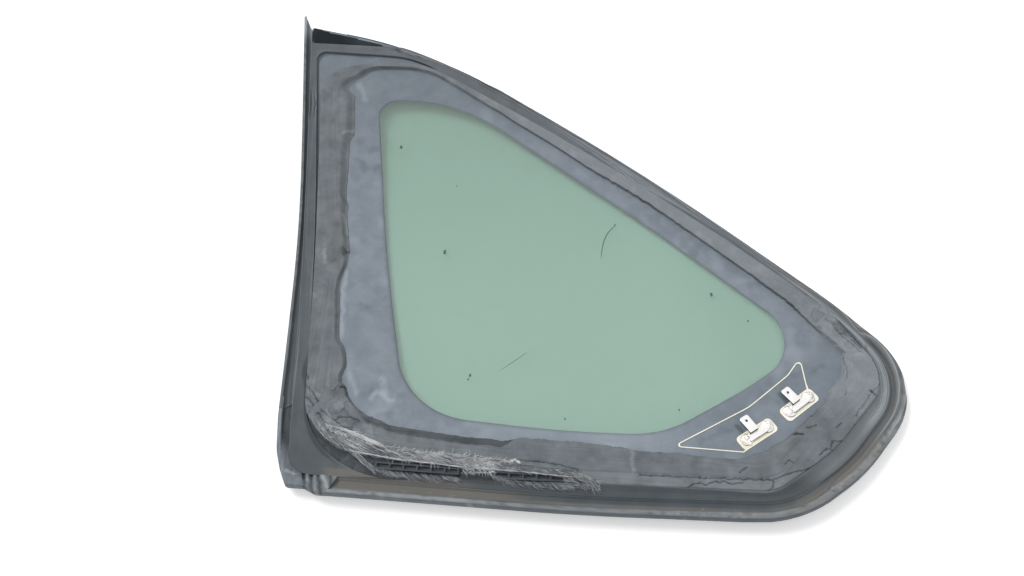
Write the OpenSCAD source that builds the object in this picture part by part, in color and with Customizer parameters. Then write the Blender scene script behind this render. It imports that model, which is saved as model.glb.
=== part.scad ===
// Rear quarter window of a vehicle, taken out of the body and lying on its outer
// face: a bent pane with a black border, a moulded rubber seal round its edge, the
// cut bead of adhesive that held it and two aerial contacts soldered to the border.
// The X axis runs to the rear, Y up the window and Z to the inside of the vehicle.

/* [Glass] */
// Thickness of the toughened pane
glass_t = 4; // [3:0.1:6]
// Radius to which the pane is bent, about an axis along its length
bend_r = 1800; // [1200:10:4000]
// Where the lowest line of the outer face lies, up the window from the middle
low_line_y = -18; // [-60:1:60]
// Thickness at which the printed border is drawn
frit_t = 0.3; // [0.2:0.05:0.6]

/* [Seal] */
// Height of the dam beside the bead, over the border, along the sill
dam_h_sill = 3.6; // [1.5:0.1:6]
// Height of the dam at the nose
dam_h_nose = 3.2; // [1.5:0.1:6]
// Height of the dam along the roof
dam_h_roof = 2; // [1:0.1:5]
// Height of the dam along the front
dam_h_front = 2.2; // [1:0.1:5]
// Flat top of the dam
dam_top_w = 1.2; // [0.6:0.1:2]
// Depth of the trough outside the glass, under the inner face
trough_depth = 1.6; // [0.5:0.1:3]
// Share of the seal's overhang that the lip takes along the sill and the nose
lip_share_sill = 0.35; // [0.2:0.05:0.6]
// Share that the lip takes along the roof
lip_share_roof = 0.5; // [0.3:0.05:0.6]
// Height of the lip over the inner face along the sill and the nose
lip_h = 2.4; // [1:0.1:5]
// Height of the lip over the inner face along the roof
lip_h_roof = 1; // [0.5:0.1:3]
// Rounding of the lip's edges
lip_round = 0.8; // [0.3:0.1:1.2]

/* [Front lip] */
// Wall of the channel strip along the front edge
strip_wall = 1.6; // [1:0.1:2.2]
// Height of the strip over the inner face
strip_h = 2.6; // [1:0.1:5]
// Floor of the channel, over the outer face
strip_floor = 2; // [1:0.1:3]
// How far the strip's point stands above the glass corner
strip_tip = 8; // [2:0.5:15]

/* [Corner block] */
// Height of the block over the inner face
block_h = 2.6; // [1:0.1:4]
// Distance from one rib on the block to the next
rib_pitch = 3.2; // [2:0.1:5]
// Width of the groove between two ribs
groove_w = 1.4; // [0.6:0.1:2.5]
// Depth of the grooves
groove_depth = 1.5; // [0.5:0.1:3]

/* [Adhesive bead] */
// Height of the cut bead over the border along the sill
bead_h_sill = 4.6; // [2:0.1:8]
// Height of the cut bead round the nose
bead_h_nose = 4; // [2:0.1:8]
// Height of the cut bead along the roof
bead_h_roof = 3; // [1.5:0.1:8]
// Height of the cut bead along the front
bead_h_front = 3.2; // [1.5:0.1:8]
// Height of the thin foot that runs in front of the bead
foot_h = 1.2; // [0.5:0.1:2]
// Width of the foot along the sill
foot_w_sill = 6; // [1:0.5:10]
// Width of the foot on the other sides
foot_w = 1.5; // [0.5:0.5:5]

/* [Locating ladder] */
// Length of one ladder under the torn bead
ladder_len = 52; // [30:1:70]
// Width of the ladder
ladder_w = 5; // [4:0.5:8]
// Height of the ladder over the border
ladder_h = 3; // [1.5:0.1:4]
// Number of cells in the ladder
ladder_cells = 6; // [3:1:9]
// Wall between two cells
ladder_wall = 1.2; // [0.8:0.1:2]

/* [Aerial contacts] */
// Length of a contact pad
pad_len = 27; // [22:0.5:34]
// Width of a contact pad
pad_w = 10.5; // [9:0.5:14]
// Corner radius of a contact pad
pad_corner = 2.75; // [0.5:0.25:4]
// Thickness at which the silver print is drawn
print_t = 0.3; // [0.2:0.05:0.5]
// Width of the printed aerial line
line_w = 1.1; // [0.6:0.1:2]
// Sheet thickness of a terminal
tab_t = 0.8; // [0.5:0.1:1]
// Width of the terminal's blade
tab_w = 6.3; // [4.8:0.1:9.5]
// Reach of the blade from the middle of the pad
tab_reach = 13.2; // [11:0.1:18]
// Clear height under the blade
tab_lift = 3; // [1.5:0.1:5]
// Radius of the latching hole in the blade
hole_r = 0.9; // [0.6:0.05:1.4]
// Distance of the hole from the end of the blade
hole_edge = 3.5; // [2:0.1:5]
// Radius of a terminal's soldered foot
foot_r = 3.6; // [2.5:0.1:4.5]
// Distance between the two feet
feet_apart = 16.5; // [12:0.5:20]
// Clear height under the bridge between the feet
bridge_lift = 0.8; // [0.5:0.1:2]
// Radius of the solder round a foot
solder_r = 4.5; // [3:0.1:5]
// Width of the solder left at the top of a foot
solder_rim = 0.2; // [0.1:0.05:0.5]

/* [Hidden] */
$fn = 48;
shell_facets = 256;
reach = 260;

// Each outline names its corners in the same order, with their radii: front end of
// the sill, middle of the sill, start of the nose, middle of the nose, tip of the
// nose, rear of the roof, middle of the roof, front of the roof, top corner and
// middle of the front.
rim = [[-196.6, -172.3, 12], [-8, -188.5, 1800], [125, -194, 80],
       [168.9, -159.9, 130], [216.8, -98.8, 52], [163.2, -40.8, 300],
       [43.5, 62.7, 1500], [-111, 167.6, 280], [-200.6, 187.3, 1.2],
       [-193.2, 19.7, 1600]];
glass_edge = [[-187, -161, 16], [-17, -176.8, 1800], [119, -181.5, 50],
              [158, -152, 120], [201.5, -98, 42], [161.4, -42.9, 250],
              [41.6, 60.1, 1500], [-112.3, 166.9, 280], [-194.6, 186.2, 1.5],
              [-188.5, -20, 3000]];
bead_out = [[-179, -164, 60], [-17, -169, 1500], [111, -175, 26], [150, -147, 120],
            [191, -97, 28], [159, -45.2, 120], [39.6, 57.6, 1500],
            [-120, 159, 70], [-185.5, 146.5, 22], [-180.5, -10, 3000]];
// The dam follows the outer side of the bead, but keeps into the top corner
dam_corner = [-190, 164.5, 7];
dam_edge = [for (i = [0:len(bead_out) - 1]) i == 8 ? dam_corner : bead_out[i]];
bead_in = [[-157, -124.5, 32], [-17, -140, 1500], [106, -152.5, 22],
           [138, -121.5, 200], [174, -86, 23], [136, -42, 150], [33, 48, 1500],
           [-110, 150.8, 60], [-165, 150.5, 22], [-160.5, 0, 2000]];
// The edge of the clear view has corners of its own, counter-clockwise from the
// front end of the sill.
daylight = [[-116, -119, 52], [-17, -132.3, 700], [44.5, -134.6, 70],
            [98, -103, 200], [145.5, -69, 30], [43, 21, 1200],
            [-88, 123.6, 112], [-143.8, 123.5, 13], [-133, -6, 1500]];

// Steps round each corner and along the side that follows it
corner_steps = [8, 3, 6, 4, 10, 3, 5, 5, 8, 3];
side_steps = [6, 6, 2, 3, 3, 4, 4, 5, 9, 5];
plain_corner_steps = [10, 3, 6, 3, 10, 3, 8, 8, 3];
plain_side_steps = [1, 1, 1, 1, 1, 1, 1, 1, 1];

function unit(v) = v / norm(v);
function flat(c) = [c.x, c.y];
function smooth(f) = f * f * (3 - 2 * f);

// Height of the surface that lies h inside the outer face
function skin(y, h) = bend_r - sqrt(pow(bend_r - h, 2) - pow(y - low_line_y, 2));

// Arc at corner b between the sides from a and to c, as points with outward normals
function corner_arc(a, b, c, steps) =
    let (u = unit(flat(b) - flat(a)), v = unit(flat(c) - flat(b)))
    let (turn = atan2(u.x * v.y - u.y * v.x, u * v), side = sign(turn))
    let (normal = [u.y, -u.x])
    let (start = flat(b) - u * b.z * tan(abs(turn) / 2))
    let (centre = start - normal * b.z * side, from = atan2(normal.y, normal.x))
    [for (k = [0:steps]) let (d = [cos(from + turn * k / steps), sin(from + turn * k / steps)])
        [centre.x + d.x * b.z * side, centre.y + d.y * b.z * side, d.x, d.y]];

// Whole outline: an arc at each corner and even steps along each side
function outline(corners, arcs, sides) =
    let (n = len(corners))
    let (bends = [for (i = [0:n - 1])
        corner_arc(corners[(i + n - 1) % n], corners[i], corners[(i + 1) % n], arcs[i])])
    [for (i = [0:n - 1]) each concat(bends[i],
        [for (k = [1:1:sides[i] - 1]) let (f = k / sides[i], a = bends[i][arcs[i]])
            a * (1 - f) + bends[(i + 1) % n][0] * f])];

// The seal's flange ends at this line below the top corner, so that the border's
// print is bare beyond it
bare_line = [[-200, 172.4], [-138, 168.6]];
// Outer side of the corner block, with its blunt end: x, y and corner radius
block_end = [[-195.6, -122, 60], [-194.4, -146, 30], [-191, -159.5, 20],
             [-187.2, -169.5, 3], [-176, -170.3, 2], [-168.8, -174.6, 3]];
ribs_from = [-177, -190];
rib_count = 5;

// Places of the pads: x, y and the turn of the long side
pad_lower = [103.5, -134.3, 34];
pad_upper = [132, -113.7, 38.5];
// Route of the aerial line: x, y and corner radius, from the lower pad to the upper
aerial_path = [[98, -143.5, 0], [94, -146.8, 1], [51, -142.8, 1.5], [100, -115.5, 60],
               [127, -92.5, 20], [136, -80, 2], [137.8, -98, 4], [139, -105, 0]];
// Middles of the ladders and the turn of their long sides
ladder_front_at = [-107, -158.9, -5];
ladder_rear_at = [-34, -164.9, -3];
ladder_floor = 1;
bridge_w = 5;
solder_film = 0.05;
blade_off = -1.2;
blade_nose = 0.9;
flange_t = 1;
lap = 1;
torn_w = 12;
torn_from = -152;
torn_to = 4;
torn_ease = 14;
torn_below = -120;
block_steps = 2;
// Stations at which the bead is split into its five lengths
cuts = [0.5, 1.5, 5, 8, 9.6];

// Corner number plus the share of the side after it, for each point of an outline
stations = [for (i = [0:len(rim) - 1]) each concat(
    [for (k = [0:corner_steps[i]]) i],
    [for (k = [1:1:side_steps[i] - 1]) i + k / side_steps[i]])];
count = len(stations);

rim_line = outline(rim, corner_steps, side_steps);
glass_line = outline(glass_edge, corner_steps, side_steps);
dam_line = outline(dam_edge, corner_steps, side_steps);
bead_line = outline(bead_out, corner_steps, side_steps);
foot_line = outline(bead_in, corner_steps, side_steps);
daylight_line = outline(daylight, plain_corner_steps, plain_side_steps);

// Value at a station, eased between the ten corners' own values
function along(values, s) =
    let (i = floor(s), f = smooth(s - i))
    values[i] * (1 - f) + values[(i + 1) % len(values)] * f;

// Point beside an outline point p, moved out by d, at height h over the outer face
function beside(p, d, h) =
    let (y = p.y + p[3] * d)
    [p.x + p[2] * d, y, skin(y, h)];
// Point on the way from p to q, at share f of it or d along it
function between(p, q, f, h) = beside(p * (1 - f) + q * f, 0, h);
function toward(p, q, d, h) = between(p, q, d / norm(flat(q) - flat(p)), h);
function ramp(f) = smooth(min(1, max(0, f)));

first_of = [for (i = [0:len(rim) - 1]) search([i], stations)[0]];
last_of = [for (i = [0:len(rim) - 1]) first_of[i] + corner_steps[i]];

block_to = last_of[0] + 1;
border_h = glass_t + frit_t;
dam_h = [dam_h_front, dam_h_sill, dam_h_sill, dam_h_nose, dam_h_nose,
         dam_h_roof, dam_h_roof, dam_h_roof, dam_h_front, dam_h_front];
lip_share = [lip_share_sill, lip_share_sill, lip_share_sill, lip_share_sill,
             lip_share_sill, lip_share_roof, lip_share_roof, lip_share_roof,
             lip_share_roof, lip_share_roof];
lip_height = [lip_h, lip_h, lip_h, lip_h, lip_h, lip_h_roof, lip_h_roof,
              lip_h_roof, lip_h_roof, lip_h_roof];
trough = [trough_depth, trough_depth, trough_depth, trough_depth, trough_depth,
          0, 0, 0, 0, 0];
bead_h = [bead_h_front, bead_h_sill, bead_h_sill, bead_h_nose, bead_h_nose,
          bead_h_roof, bead_h_roof, bead_h_roof, bead_h_front, bead_h_front];
foot_width = [foot_w_sill, foot_w_sill, foot_w_sill, foot_w, foot_w,
              foot_w, foot_w, foot_w, foot_w, foot_w];

// Numbers of the outline points from station a on to station b, over the start too
function number_of(s) = s >= len(rim) ? count + number_of(s - len(rim))
    : min([for (i = [0:count - 1]) if (stations[i] > s - 0.001) i]);
function span(a, b) = [for (i = [number_of(a):number_of(b)]) i % count];

// Solid through a row of like sections, closed on itself or capped at both ends
module loft(sections, ring = false) {
    n = len(sections[0]);
    m = len(sections);
    sides = [for (i = [0:(ring ? m - 1 : m - 2)], j = [0:n - 1])
        let (a = i * n + j, b = i * n + (j + 1) % n, c = (i + 1) % m * n)
        each [[a, c + j, b], [b, c + j, c + (j + 1) % n]]];
    caps = ring ? [] : [[for (j = [0:n - 1]) j], [for (j = [n - 1:-1:0]) (m - 1) * n + j]];
    polyhedron([for (s = sections) each s], concat(sides, caps), convexity = 8);
}

module bent_sheet(low, high) {
    translate([-reach, low_line_y, bend_r]) rotate([0, 90, 0]) difference() {
        cylinder(r = bend_r - low, h = 2 * reach, $fn = shell_facets);
        translate([0, 0, -1])
            cylinder(r = bend_r - high, h = 2 * reach + 2, $fn = shell_facets);
    }
}

// Sheet of the given outline that follows the bend of the pane
module bent_plate(low, high) {
    intersection() {
        translate([0, 0, -1]) linear_extrude(height = reach) children();
        bent_sheet(low, high);
    }
}

module flat_outline(line) {
    polygon([for (p = line) [p.x, p.y]]);
}

module glass_pane() {
    color([0.56, 0.69, 0.63, 0.5]) bent_plate(0, glass_t) flat_outline(glass_line);
}

module frit_band() {
    color([0.48, 0.52, 0.57]) bent_plate(glass_t, border_h) difference() {
        flat_outline(glass_line);
        flat_outline(daylight_line);
    }
}

// Share of the way from p to q at which the line of bare_line is crossed, at most 1
function past_bare(p) =
    let (u = unit(bare_line[1] - bare_line[0]), v = flat(p) - bare_line[0])
    u.x * v.y - u.y * v.x;
function kept(p, q) = past_bare(q) > 0 ? past_bare(p) / (past_bare(p) - past_bare(q)) : 1;

// Flange of the seal on the border, with the dam that held the bead back
function flange_section(i) =
    let (d = dam_line[i], q = glass_line[i], f = kept(d, q))
    let (g = d * (1 - f) + q * f, h = along(dam_h, stations[i]))
    [beside(d, 0, border_h), beside(d, 0, border_h + h),
     toward(d, g, dam_top_w, border_h + h), between(d, g, 0.5, border_h + h * 0.45),
     beside(g, 0, border_h + flange_t), beside(g, 0, border_h)];

// Part of the seal outside the glass: trough, lip and outer side
function edge_section(i) =
    let (g = glass_line[i], r = rim_line[i], s = stations[i])
    let (share = along(lip_share, s), top = glass_t + along(lip_height, s))
    let (low = border_h - along(trough, s))
    [beside(g, 0, 0), beside(g, 0, border_h + flange_t * 0.2),
     beside(g, -lap, border_h + flange_t * 0.2), beside(g, -lap, border_h + flange_t * 0.5),
     between(g, r, 0.05, border_h + flange_t * 0.5), between(g, r, 0.15, low),
     between(g, r, 0.92 - share, low), between(g, r, 1 - share, top - lip_round),
     between(g, r, 1 - share * 0.8, top), between(g, r, 1 - share * 0.2, top),
     beside(r, 0, top - lip_round), beside(r, 0, lip_round),
     between(g, r, 1 - share * 0.2, 0)];

module seal_moulding() {
    color([0.31, 0.33, 0.36]) union() {
        loft([for (i = [0:count - 1]) flange_section(i)], ring = true);
        loft([for (i = [block_to:first_of[7] + 1]) edge_section(i)]);
    }
}

// Channel strip beside the front edge of the glass. Its outer wall runs on to a
// point above the glass corner: up is how far each wall is carried past point i.
function strip_section(i, up = 0) =
    let (g = glass_line[i], r = rim_line[i])
    let (rise = [r[3], -r[2], 0, 0] * up, top = glass_t + strip_h)
    [beside(g, 0, 0), beside(g, 0, border_h + flange_t),
     beside(g, strip_wall, border_h + flange_t), beside(g, strip_wall, strip_floor),
     beside(r + rise, -strip_wall, strip_floor), beside(r + rise, -strip_wall, top),
     beside(r + rise, -0.4, top), beside(r + rise, 0, top - 0.4),
     beside(r + rise, 0, lip_round), beside(r + rise, -lip_round, 0)];

module front_lip() {
    top = last_of[8];
    color([0.36, 0.38, 0.41])
        loft(concat([strip_section(top, strip_tip)],
                    [for (i = [top + 1:count - block_steps]) strip_section(i)]));
}

// Solid end of the seal round the lower front corner of the glass, from the front
// strip to the sill, with ribs across its lower part
module corner_block() {
    from = count - block_steps;
    r = rim_line[from];
    g = glass_line[from];
    outer = path_points(concat([concat(flat(r), 0)], block_end,
                               [concat(flat(rim_line[block_to]), 0)]));
    inner = concat([for (i = [block_to:-1:0]) glass_line[i]],
                   [for (i = [count - 1:-1:from]) glass_line[i]]);
    sides = [g + [g[2], g[3], 0, 0] * strip_wall, r - [r[2], r[3], 0, 0] * strip_wall];
    color([0.27, 0.29, 0.32]) difference() {
        bent_plate(0, glass_t + block_h) flat_outline(concat(outer, inner, sides));
        bent_plate(glass_t + block_h - groove_depth, glass_t + block_h + 1)
            for (k = [0:rib_count - 1]) translate(ribs_from + [k * rib_pitch, 0])
                square([groove_w, -ribs_from.y]);
    }
}

// Cut bead between the border's print and the dam, with a thin foot on its inner
// side. Over the first part of the sill its outer side is torn back.
function torn(d) = d.y > torn_below ? 0 : torn_w * ramp((d.x - torn_from) / torn_ease)
    * ramp((torn_to - d.x) / torn_ease);
function bead_section(i) =
    let (f = foot_line[i], d = bead_line[i], s = stations[i], t = torn(d))
    let (h = along(bead_h, s), w = along(foot_width, s))
    [beside(f, 0, border_h), toward(f, d, 0.3, border_h + foot_h),
     toward(f, d, w, border_h + foot_h), toward(f, d, w + 1, border_h + h),
     toward(d, f, t + 1, border_h + h), toward(d, f, t, border_h + h - 1),
     toward(d, f, t, border_h)];

module bead(from, to, tint) {
    color(tint) loft([for (i = span(from, to)) bead_section(i)]);
}

module adhesive_corner() {
    bead(cuts[4], cuts[0] + len(rim), [0.38, 0.39, 0.41]);
}

module adhesive_sill() {
    bead(cuts[0], cuts[1], [0.40, 0.42, 0.44]);
}

module adhesive_nose() {
    bead(cuts[1], cuts[2], [0.38, 0.40, 0.42]);
}

module adhesive_roof() {
    bead(cuts[2], cuts[3], [0.41, 0.41, 0.43]);
}

module adhesive_front() {
    bead(cuts[3], cuts[4], [0.42, 0.42, 0.43]);
}

// Row of open cells moulded on the border under the torn bead
module ladder(middle) {
    cell = (ladder_len - ladder_wall) / ladder_cells;
    difference() {
        bent_plate(border_h, border_h + ladder_h) ladder_place(middle)
            square([ladder_len, ladder_w], center = true);
        bent_plate(border_h + ladder_floor, border_h + ladder_h + 1) ladder_place(middle)
            for (k = [0:ladder_cells - 1])
                translate([-ladder_len / 2 + ladder_wall + k * cell, -ladder_w / 2 + ladder_wall])
                    square([cell - ladder_wall, ladder_w - 2 * ladder_wall]);
    }
}

module ladder_place(at) {
    translate([at.x, at.y]) rotate(at.z) children();
}

module sill_ladder_front() {
    color([0.16, 0.17, 0.18]) ladder(ladder_front_at);
}

module sill_ladder_rear() {
    color([0.16, 0.17, 0.18]) ladder(ladder_rear_at);
}

// Contact pads and the aerial line that joins them
module pad(at) {
    l = pad_len / 2;
    w = pad_w / 2;
    corners = [[-l, -w, pad_corner], [l, -w, pad_corner],
               [l, w, pad_corner], [-l, w, pad_corner]];
    translate([at.x, at.y]) rotate(at.z)
        flat_outline(outline(corners, [4, 4, 4, 4], [1, 1, 1, 1]));
}

// Points along an open path with rounded corners
function path_points(path) = concat([concat(flat(path[0]), path_side(path[0], path[1]))],
    [for (i = [1:len(path) - 2]) each corner_arc(path[i - 1], path[i], path[i + 1], 4)],
    [concat(flat(path[len(path) - 1]), path_side(path[len(path) - 2], path[len(path) - 1]))]);
function path_side(a, b) = let (u = unit(flat(b) - flat(a))) [u.y, -u.x];

module stroke(path, w) {
    line = path_points(path);
    n = len(line);
    polygon(concat([for (p = line) [p.x + p[2] * w / 2, p.y + p[3] * w / 2]],
        [for (k = [n - 1:-1:0]) let (p = line[k]) [p.x - p[2] * w / 2, p.y - p[3] * w / 2]]));
}

module silver_print() {
    color([0.93, 0.90, 0.80]) {
        bent_plate(border_h, border_h + print_t) pad(pad_lower);
        bent_plate(border_h, border_h + print_t) pad(pad_upper);
        bent_plate(border_h, border_h + print_t) stroke(aerial_path, line_w);
    }
}

// Sets its children on the print at a pad, x along the pad and y to the view side
module on_pad(at) {
    base = border_h + print_t + solder_film;
    translate([at.x, at.y, skin(at.y, base)])
        rotate([asin((at.y - low_line_y) / (bend_r - base)), 0, 0])
            rotate([0, 0, at.z]) children();
}

// Strip of sheet metal on two round feet, stepped up between them, with a blade bent
// out of its side
module terminal() {
    step_x = feet_apart / 2 - foot_r / 2;
    for (side = [-1, 1]) {
        translate([side * feet_apart / 2, 0, 0]) cylinder(r = foot_r, h = tab_t);
        translate([side * step_x - tab_t / 2, -bridge_w / 2, 0])
            cube([tab_t, bridge_w, bridge_lift + tab_t]);
    }
    translate([-step_x, -bridge_w / 2, bridge_lift]) cube([2 * step_x, bridge_w, tab_t]);
    translate([blade_off - tab_w / 2, bridge_w / 2 - tab_t, bridge_lift])
        cube([tab_w, tab_t, tab_lift - bridge_lift + tab_t]);
    difference() {
        translate([blade_off, 0, tab_lift]) linear_extrude(height = tab_t)
            polygon([[-tab_w / 2, bridge_w / 2 - tab_t], [tab_w / 2, bridge_w / 2 - tab_t],
                     [tab_w / 2, tab_reach - blade_nose], [tab_w / 2 - blade_nose, tab_reach],
                     [blade_nose - tab_w / 2, tab_reach], [-tab_w / 2, tab_reach - blade_nose]]);
        translate([blade_off, tab_reach - hole_edge, tab_lift - 1])
            cylinder(r = hole_r, h = tab_t + 2);
    }
}

module terminal_lower() {
    color([0.85, 0.85, 0.84]) on_pad(pad_lower) terminal();
}

module terminal_upper() {
    color([0.85, 0.85, 0.84]) on_pad(pad_upper) terminal();
}

// Two sloping collars of solder round the terminal's feet
module solder_pair(at) {
    on_pad(at) for (side = [-1, 1]) translate([side * feet_apart / 2, 0, 0])
        difference() {
            cylinder(r1 = solder_r, r2 = foot_r + solder_rim, h = tab_t);
            translate([0, 0, -1]) cylinder(r = foot_r, h = tab_t + 2);
        }
}

module solder_lower() {
    color([0.78, 0.77, 0.72]) solder_pair(pad_lower);
}

module solder_upper() {
    color([0.78, 0.77, 0.72]) solder_pair(pad_upper);
}

glass_pane();
frit_band();
seal_moulding();
front_lip();
corner_block();
adhesive_sill();
adhesive_nose();
adhesive_roof();
adhesive_front();
adhesive_corner();
sill_ladder_front();
sill_ladder_rear();
silver_print();
terminal_lower();
terminal_upper();
solder_lower();
solder_upper();
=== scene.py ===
import math

import bmesh
import bpy
import numpy as np
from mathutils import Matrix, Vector


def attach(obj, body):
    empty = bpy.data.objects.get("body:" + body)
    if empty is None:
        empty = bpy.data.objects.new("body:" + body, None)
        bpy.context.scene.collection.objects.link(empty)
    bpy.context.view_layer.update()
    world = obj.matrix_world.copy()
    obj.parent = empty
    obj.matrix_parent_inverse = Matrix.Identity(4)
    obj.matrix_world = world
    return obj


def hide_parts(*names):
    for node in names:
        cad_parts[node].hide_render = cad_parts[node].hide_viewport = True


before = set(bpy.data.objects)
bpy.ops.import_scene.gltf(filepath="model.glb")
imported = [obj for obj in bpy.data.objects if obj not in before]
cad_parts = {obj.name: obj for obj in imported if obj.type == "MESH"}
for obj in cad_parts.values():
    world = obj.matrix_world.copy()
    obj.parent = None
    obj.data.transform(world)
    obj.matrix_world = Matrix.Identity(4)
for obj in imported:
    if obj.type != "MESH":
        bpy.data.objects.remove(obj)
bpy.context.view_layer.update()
mm = 0.001

# The pane is bent to a cylinder about an axis along X. All sizes below are millimetres.
pane = {"thickness": 4.0, "bendRadius": 1800.0, "lowLineY": -18.0, "print": 0.3}
borderHeight = pane["thickness"] + pane["print"]

# Corners of each line round the window: x, y and the radius there. All four lines
# name their corners in the same order, counter-clockwise from the front of the sill.
rimCorners = [[-196.6, -172.3, 12], [-8, -188.5, 1800], [125, -194, 80],
              [168.9, -159.9, 130], [216.8, -98.8, 52], [163.2, -40.8, 300],
              [43.5, 62.7, 1500], [-111, 167.6, 280], [-200.6, 187.3, 1.2],
              [-193.2, 19.7, 1600]]
glassCorners = [[-187, -161, 16], [-17, -176.8, 1800], [119, -181.5, 50],
                [158, -152, 120], [201.5, -98, 42], [161.4, -42.9, 250],
                [41.6, 60.1, 1500], [-112.3, 166.9, 280], [-194.6, 186.2, 1.5],
                [-188.5, -20, 3000]]
beadOuterCorners = [[-179, -164, 60], [-17, -169, 1500], [111, -175, 26],
                    [150, -147, 120], [191, -97, 28], [159, -45.2, 120],
                    [39.6, 57.6, 1500], [-120, 159, 70], [-185.5, 146.5, 22],
                    [-180.5, -10, 3000]]
beadInnerCorners = [[-157, -124.5, 32], [-17, -140, 1500], [106, -152.5, 22],
                    [138, -121.5, 200], [174, -86, 23], [136, -42, 150],
                    [33, 48, 1500], [-110, 150.8, 60], [-165, 150.5, 22],
                    [-160.5, 0, 2000]]
damCorners = [list(c) for c in beadOuterCorners]
damCorners[8] = [-190, 164.5, 7]
# The clear view inside the print, with corners of its own
viewCorners = [[-116, -119, 52], [-17, -132.3, 700], [44.5, -134.6, 70],
               [98, -103, 200], [145.5, -69, 30], [43, 21, 1200],
               [-88, 123.6, 112], [-143.8, 123.5, 13], [-133, -6, 1500]]
bareLine = [[-200, 172.4], [-138, 168.6]]  # beyond it the print at the top corner is bare
linePitch = 0.6  # spacing of the points along the lines

# The camera that the photograph was fitted with; its distance and target are millimetres.
photo = {"width": 1024, "height": 576, "lens": 50, "sensor": 36,
         "elevation": 60, "distance": 940, "target": [-49, -28, 6]}


def unit(v):
    return v / np.linalg.norm(v, axis=-1, keepdims=True)


def ease(f):
    f = np.clip(f, 0, 1)
    return f * f * (3 - 2 * f)


def skin(y, h):
    # height of the surface h inside the outer face: that of a cylinder of radius
    # bendRadius - h about the axis bendRadius above the floor
    y = y - pane["lowLineY"]
    return pane["bendRadius"] - np.sqrt((pane["bendRadius"] - h) ** 2 - y ** 2)


def onPane(xy, h):
    return np.stack([xy[..., 0], xy[..., 1], skin(xy[..., 1], h)], axis=-1)


def cornerArcs(corners):
    # each corner is an arc that touches both of its sides: where it starts, its
    # centre, the angle it starts at and how far it turns
    c = np.array(corners, float)
    p, r = c[:, :2], c[:, 2]
    u, v = unit(p - np.roll(p, 1, 0)), unit(np.roll(p, -1, 0) - p)
    turn = np.arctan2(u[:, 0] * v[:, 1] - u[:, 1] * v[:, 0], (u * v).sum(1))
    side = np.sign(turn)
    normal = np.stack([u[:, 1], -u[:, 0]], 1)
    start = p - u * (r * np.tan(abs(turn) / 2))[:, None]
    centre = start - normal * (r * side)[:, None]
    return centre, r * side, np.arctan2(normal[:, 1], normal[:, 0]), turn


def lineSteps(corners, pitch):
    centre, r, begin, turn = cornerArcs(corners)
    ends = centre + np.stack([np.cos(begin + turn), np.sin(begin + turn)], 1) * r[:, None]
    starts = centre + np.stack([np.cos(begin), np.sin(begin)], 1) * r[:, None]
    sides = np.linalg.norm(np.roll(starts, -1, 0) - ends, axis=1)
    arcs = abs(r * turn)
    return (np.maximum(np.ceil(arcs / pitch), 4).astype(int),
            np.maximum(np.ceil(sides / pitch), 2).astype(int))


def lineRound(corners, steps):
    # the whole line as points with outward normals: an arc at each corner, then even
    # steps along the side that follows it
    centre, r, begin, turn = cornerArcs(corners)
    arcSteps, sideSteps = steps
    bends = []
    for i in range(len(corners)):
        angle = begin[i] + turn[i] * np.linspace(0, 1, arcSteps[i] + 1)
        normal = np.stack([np.cos(angle), np.sin(angle)], 1)
        bends.append(np.hstack([centre[i] + normal * r[i], normal]))
    parts = []
    for i in range(len(corners)):
        share = (np.arange(1, sideSteps[i]) / sideSteps[i])[:, None]
        a, b = bends[i][-1], bends[(i + 1) % len(corners)][0]
        parts += [bends[i], a * (1 - share) + b * share]
    return np.vstack(parts)


steps = lineSteps(damCorners, linePitch)
steps = (np.maximum(steps[0], 10), steps[1])
stations = np.concatenate([np.concatenate([np.full(a + 1, i, float), i + np.arange(1, b) / b])
                           for i, (a, b) in enumerate(zip(*steps))])
count = len(stations)
rimLine, glassLine, damLine, beadLine, footLine = [
    lineRound(c, steps) for c in (rimCorners, glassCorners, damCorners,
                                  beadOuterCorners, beadInnerCorners)]
rimLine[:, :2] -= rimLine[:, 2:] * 0.12  # finer arcs bulge past the solid's straight facets
travel = np.concatenate([[0], np.cumsum(np.linalg.norm(np.diff(damLine[:, :2], axis=0), axis=1))])


def along(values):
    # value at each station, eased between the ten corners' own values
    values = np.array(values, float)
    i = np.floor(stations).astype(int)
    f = ease(stations - i)
    return values[i] * (1 - f) + values[(i + 1) % len(values)] * f


def firstAt(s):
    return count + firstAt(s - 10) if s >= 10 else int(np.argmax(stations > s - 0.001))


def span(a, b):
    return np.arange(firstAt(a), firstAt(b) + 1) % count


def beside(line, outward, h):
    # point moved outward from a line, at height h over the outer face
    outward = np.broadcast_to(outward, len(line))[:, None]
    return onPane(line[:, :2] + line[:, 2:4] * outward, np.broadcast_to(h, len(line)))


def between(p, q, share, h):
    share = np.broadcast_to(share, len(p))[:, None]
    return onPane(p[:, :2] * (1 - share) + q[:, :2] * share, np.broadcast_to(h, len(p)))


def toward(p, q, distance, h):
    return between(p, q, distance / np.linalg.norm(q[:, :2] - p[:, :2], axis=1), h)


def apart(grid, line):
    # distance in plan from a grid's points to their own row's point of a line
    return np.linalg.norm(grid[..., :2] - line[:, None, :2], axis=2)


def pastBare(xy):
    # how far points lie beyond the bare line, in plan
    a, b = np.array(bareLine, float)
    u = unit(b - a)
    return u[0] * (xy[..., 1] - a[1]) - u[1] * (xy[..., 0] - a[0])


def readAt(line, given, wanted):
    # points of a line at the wanted shares of it; given are those of its own points
    return np.stack([np.interp(wanted, given, line[:, k]) for k in range(2)], -1)


def even(line):
    return np.linspace(0, 1, len(line))


def at(values, rows):
    return along(values)[rows][:, None]


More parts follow.
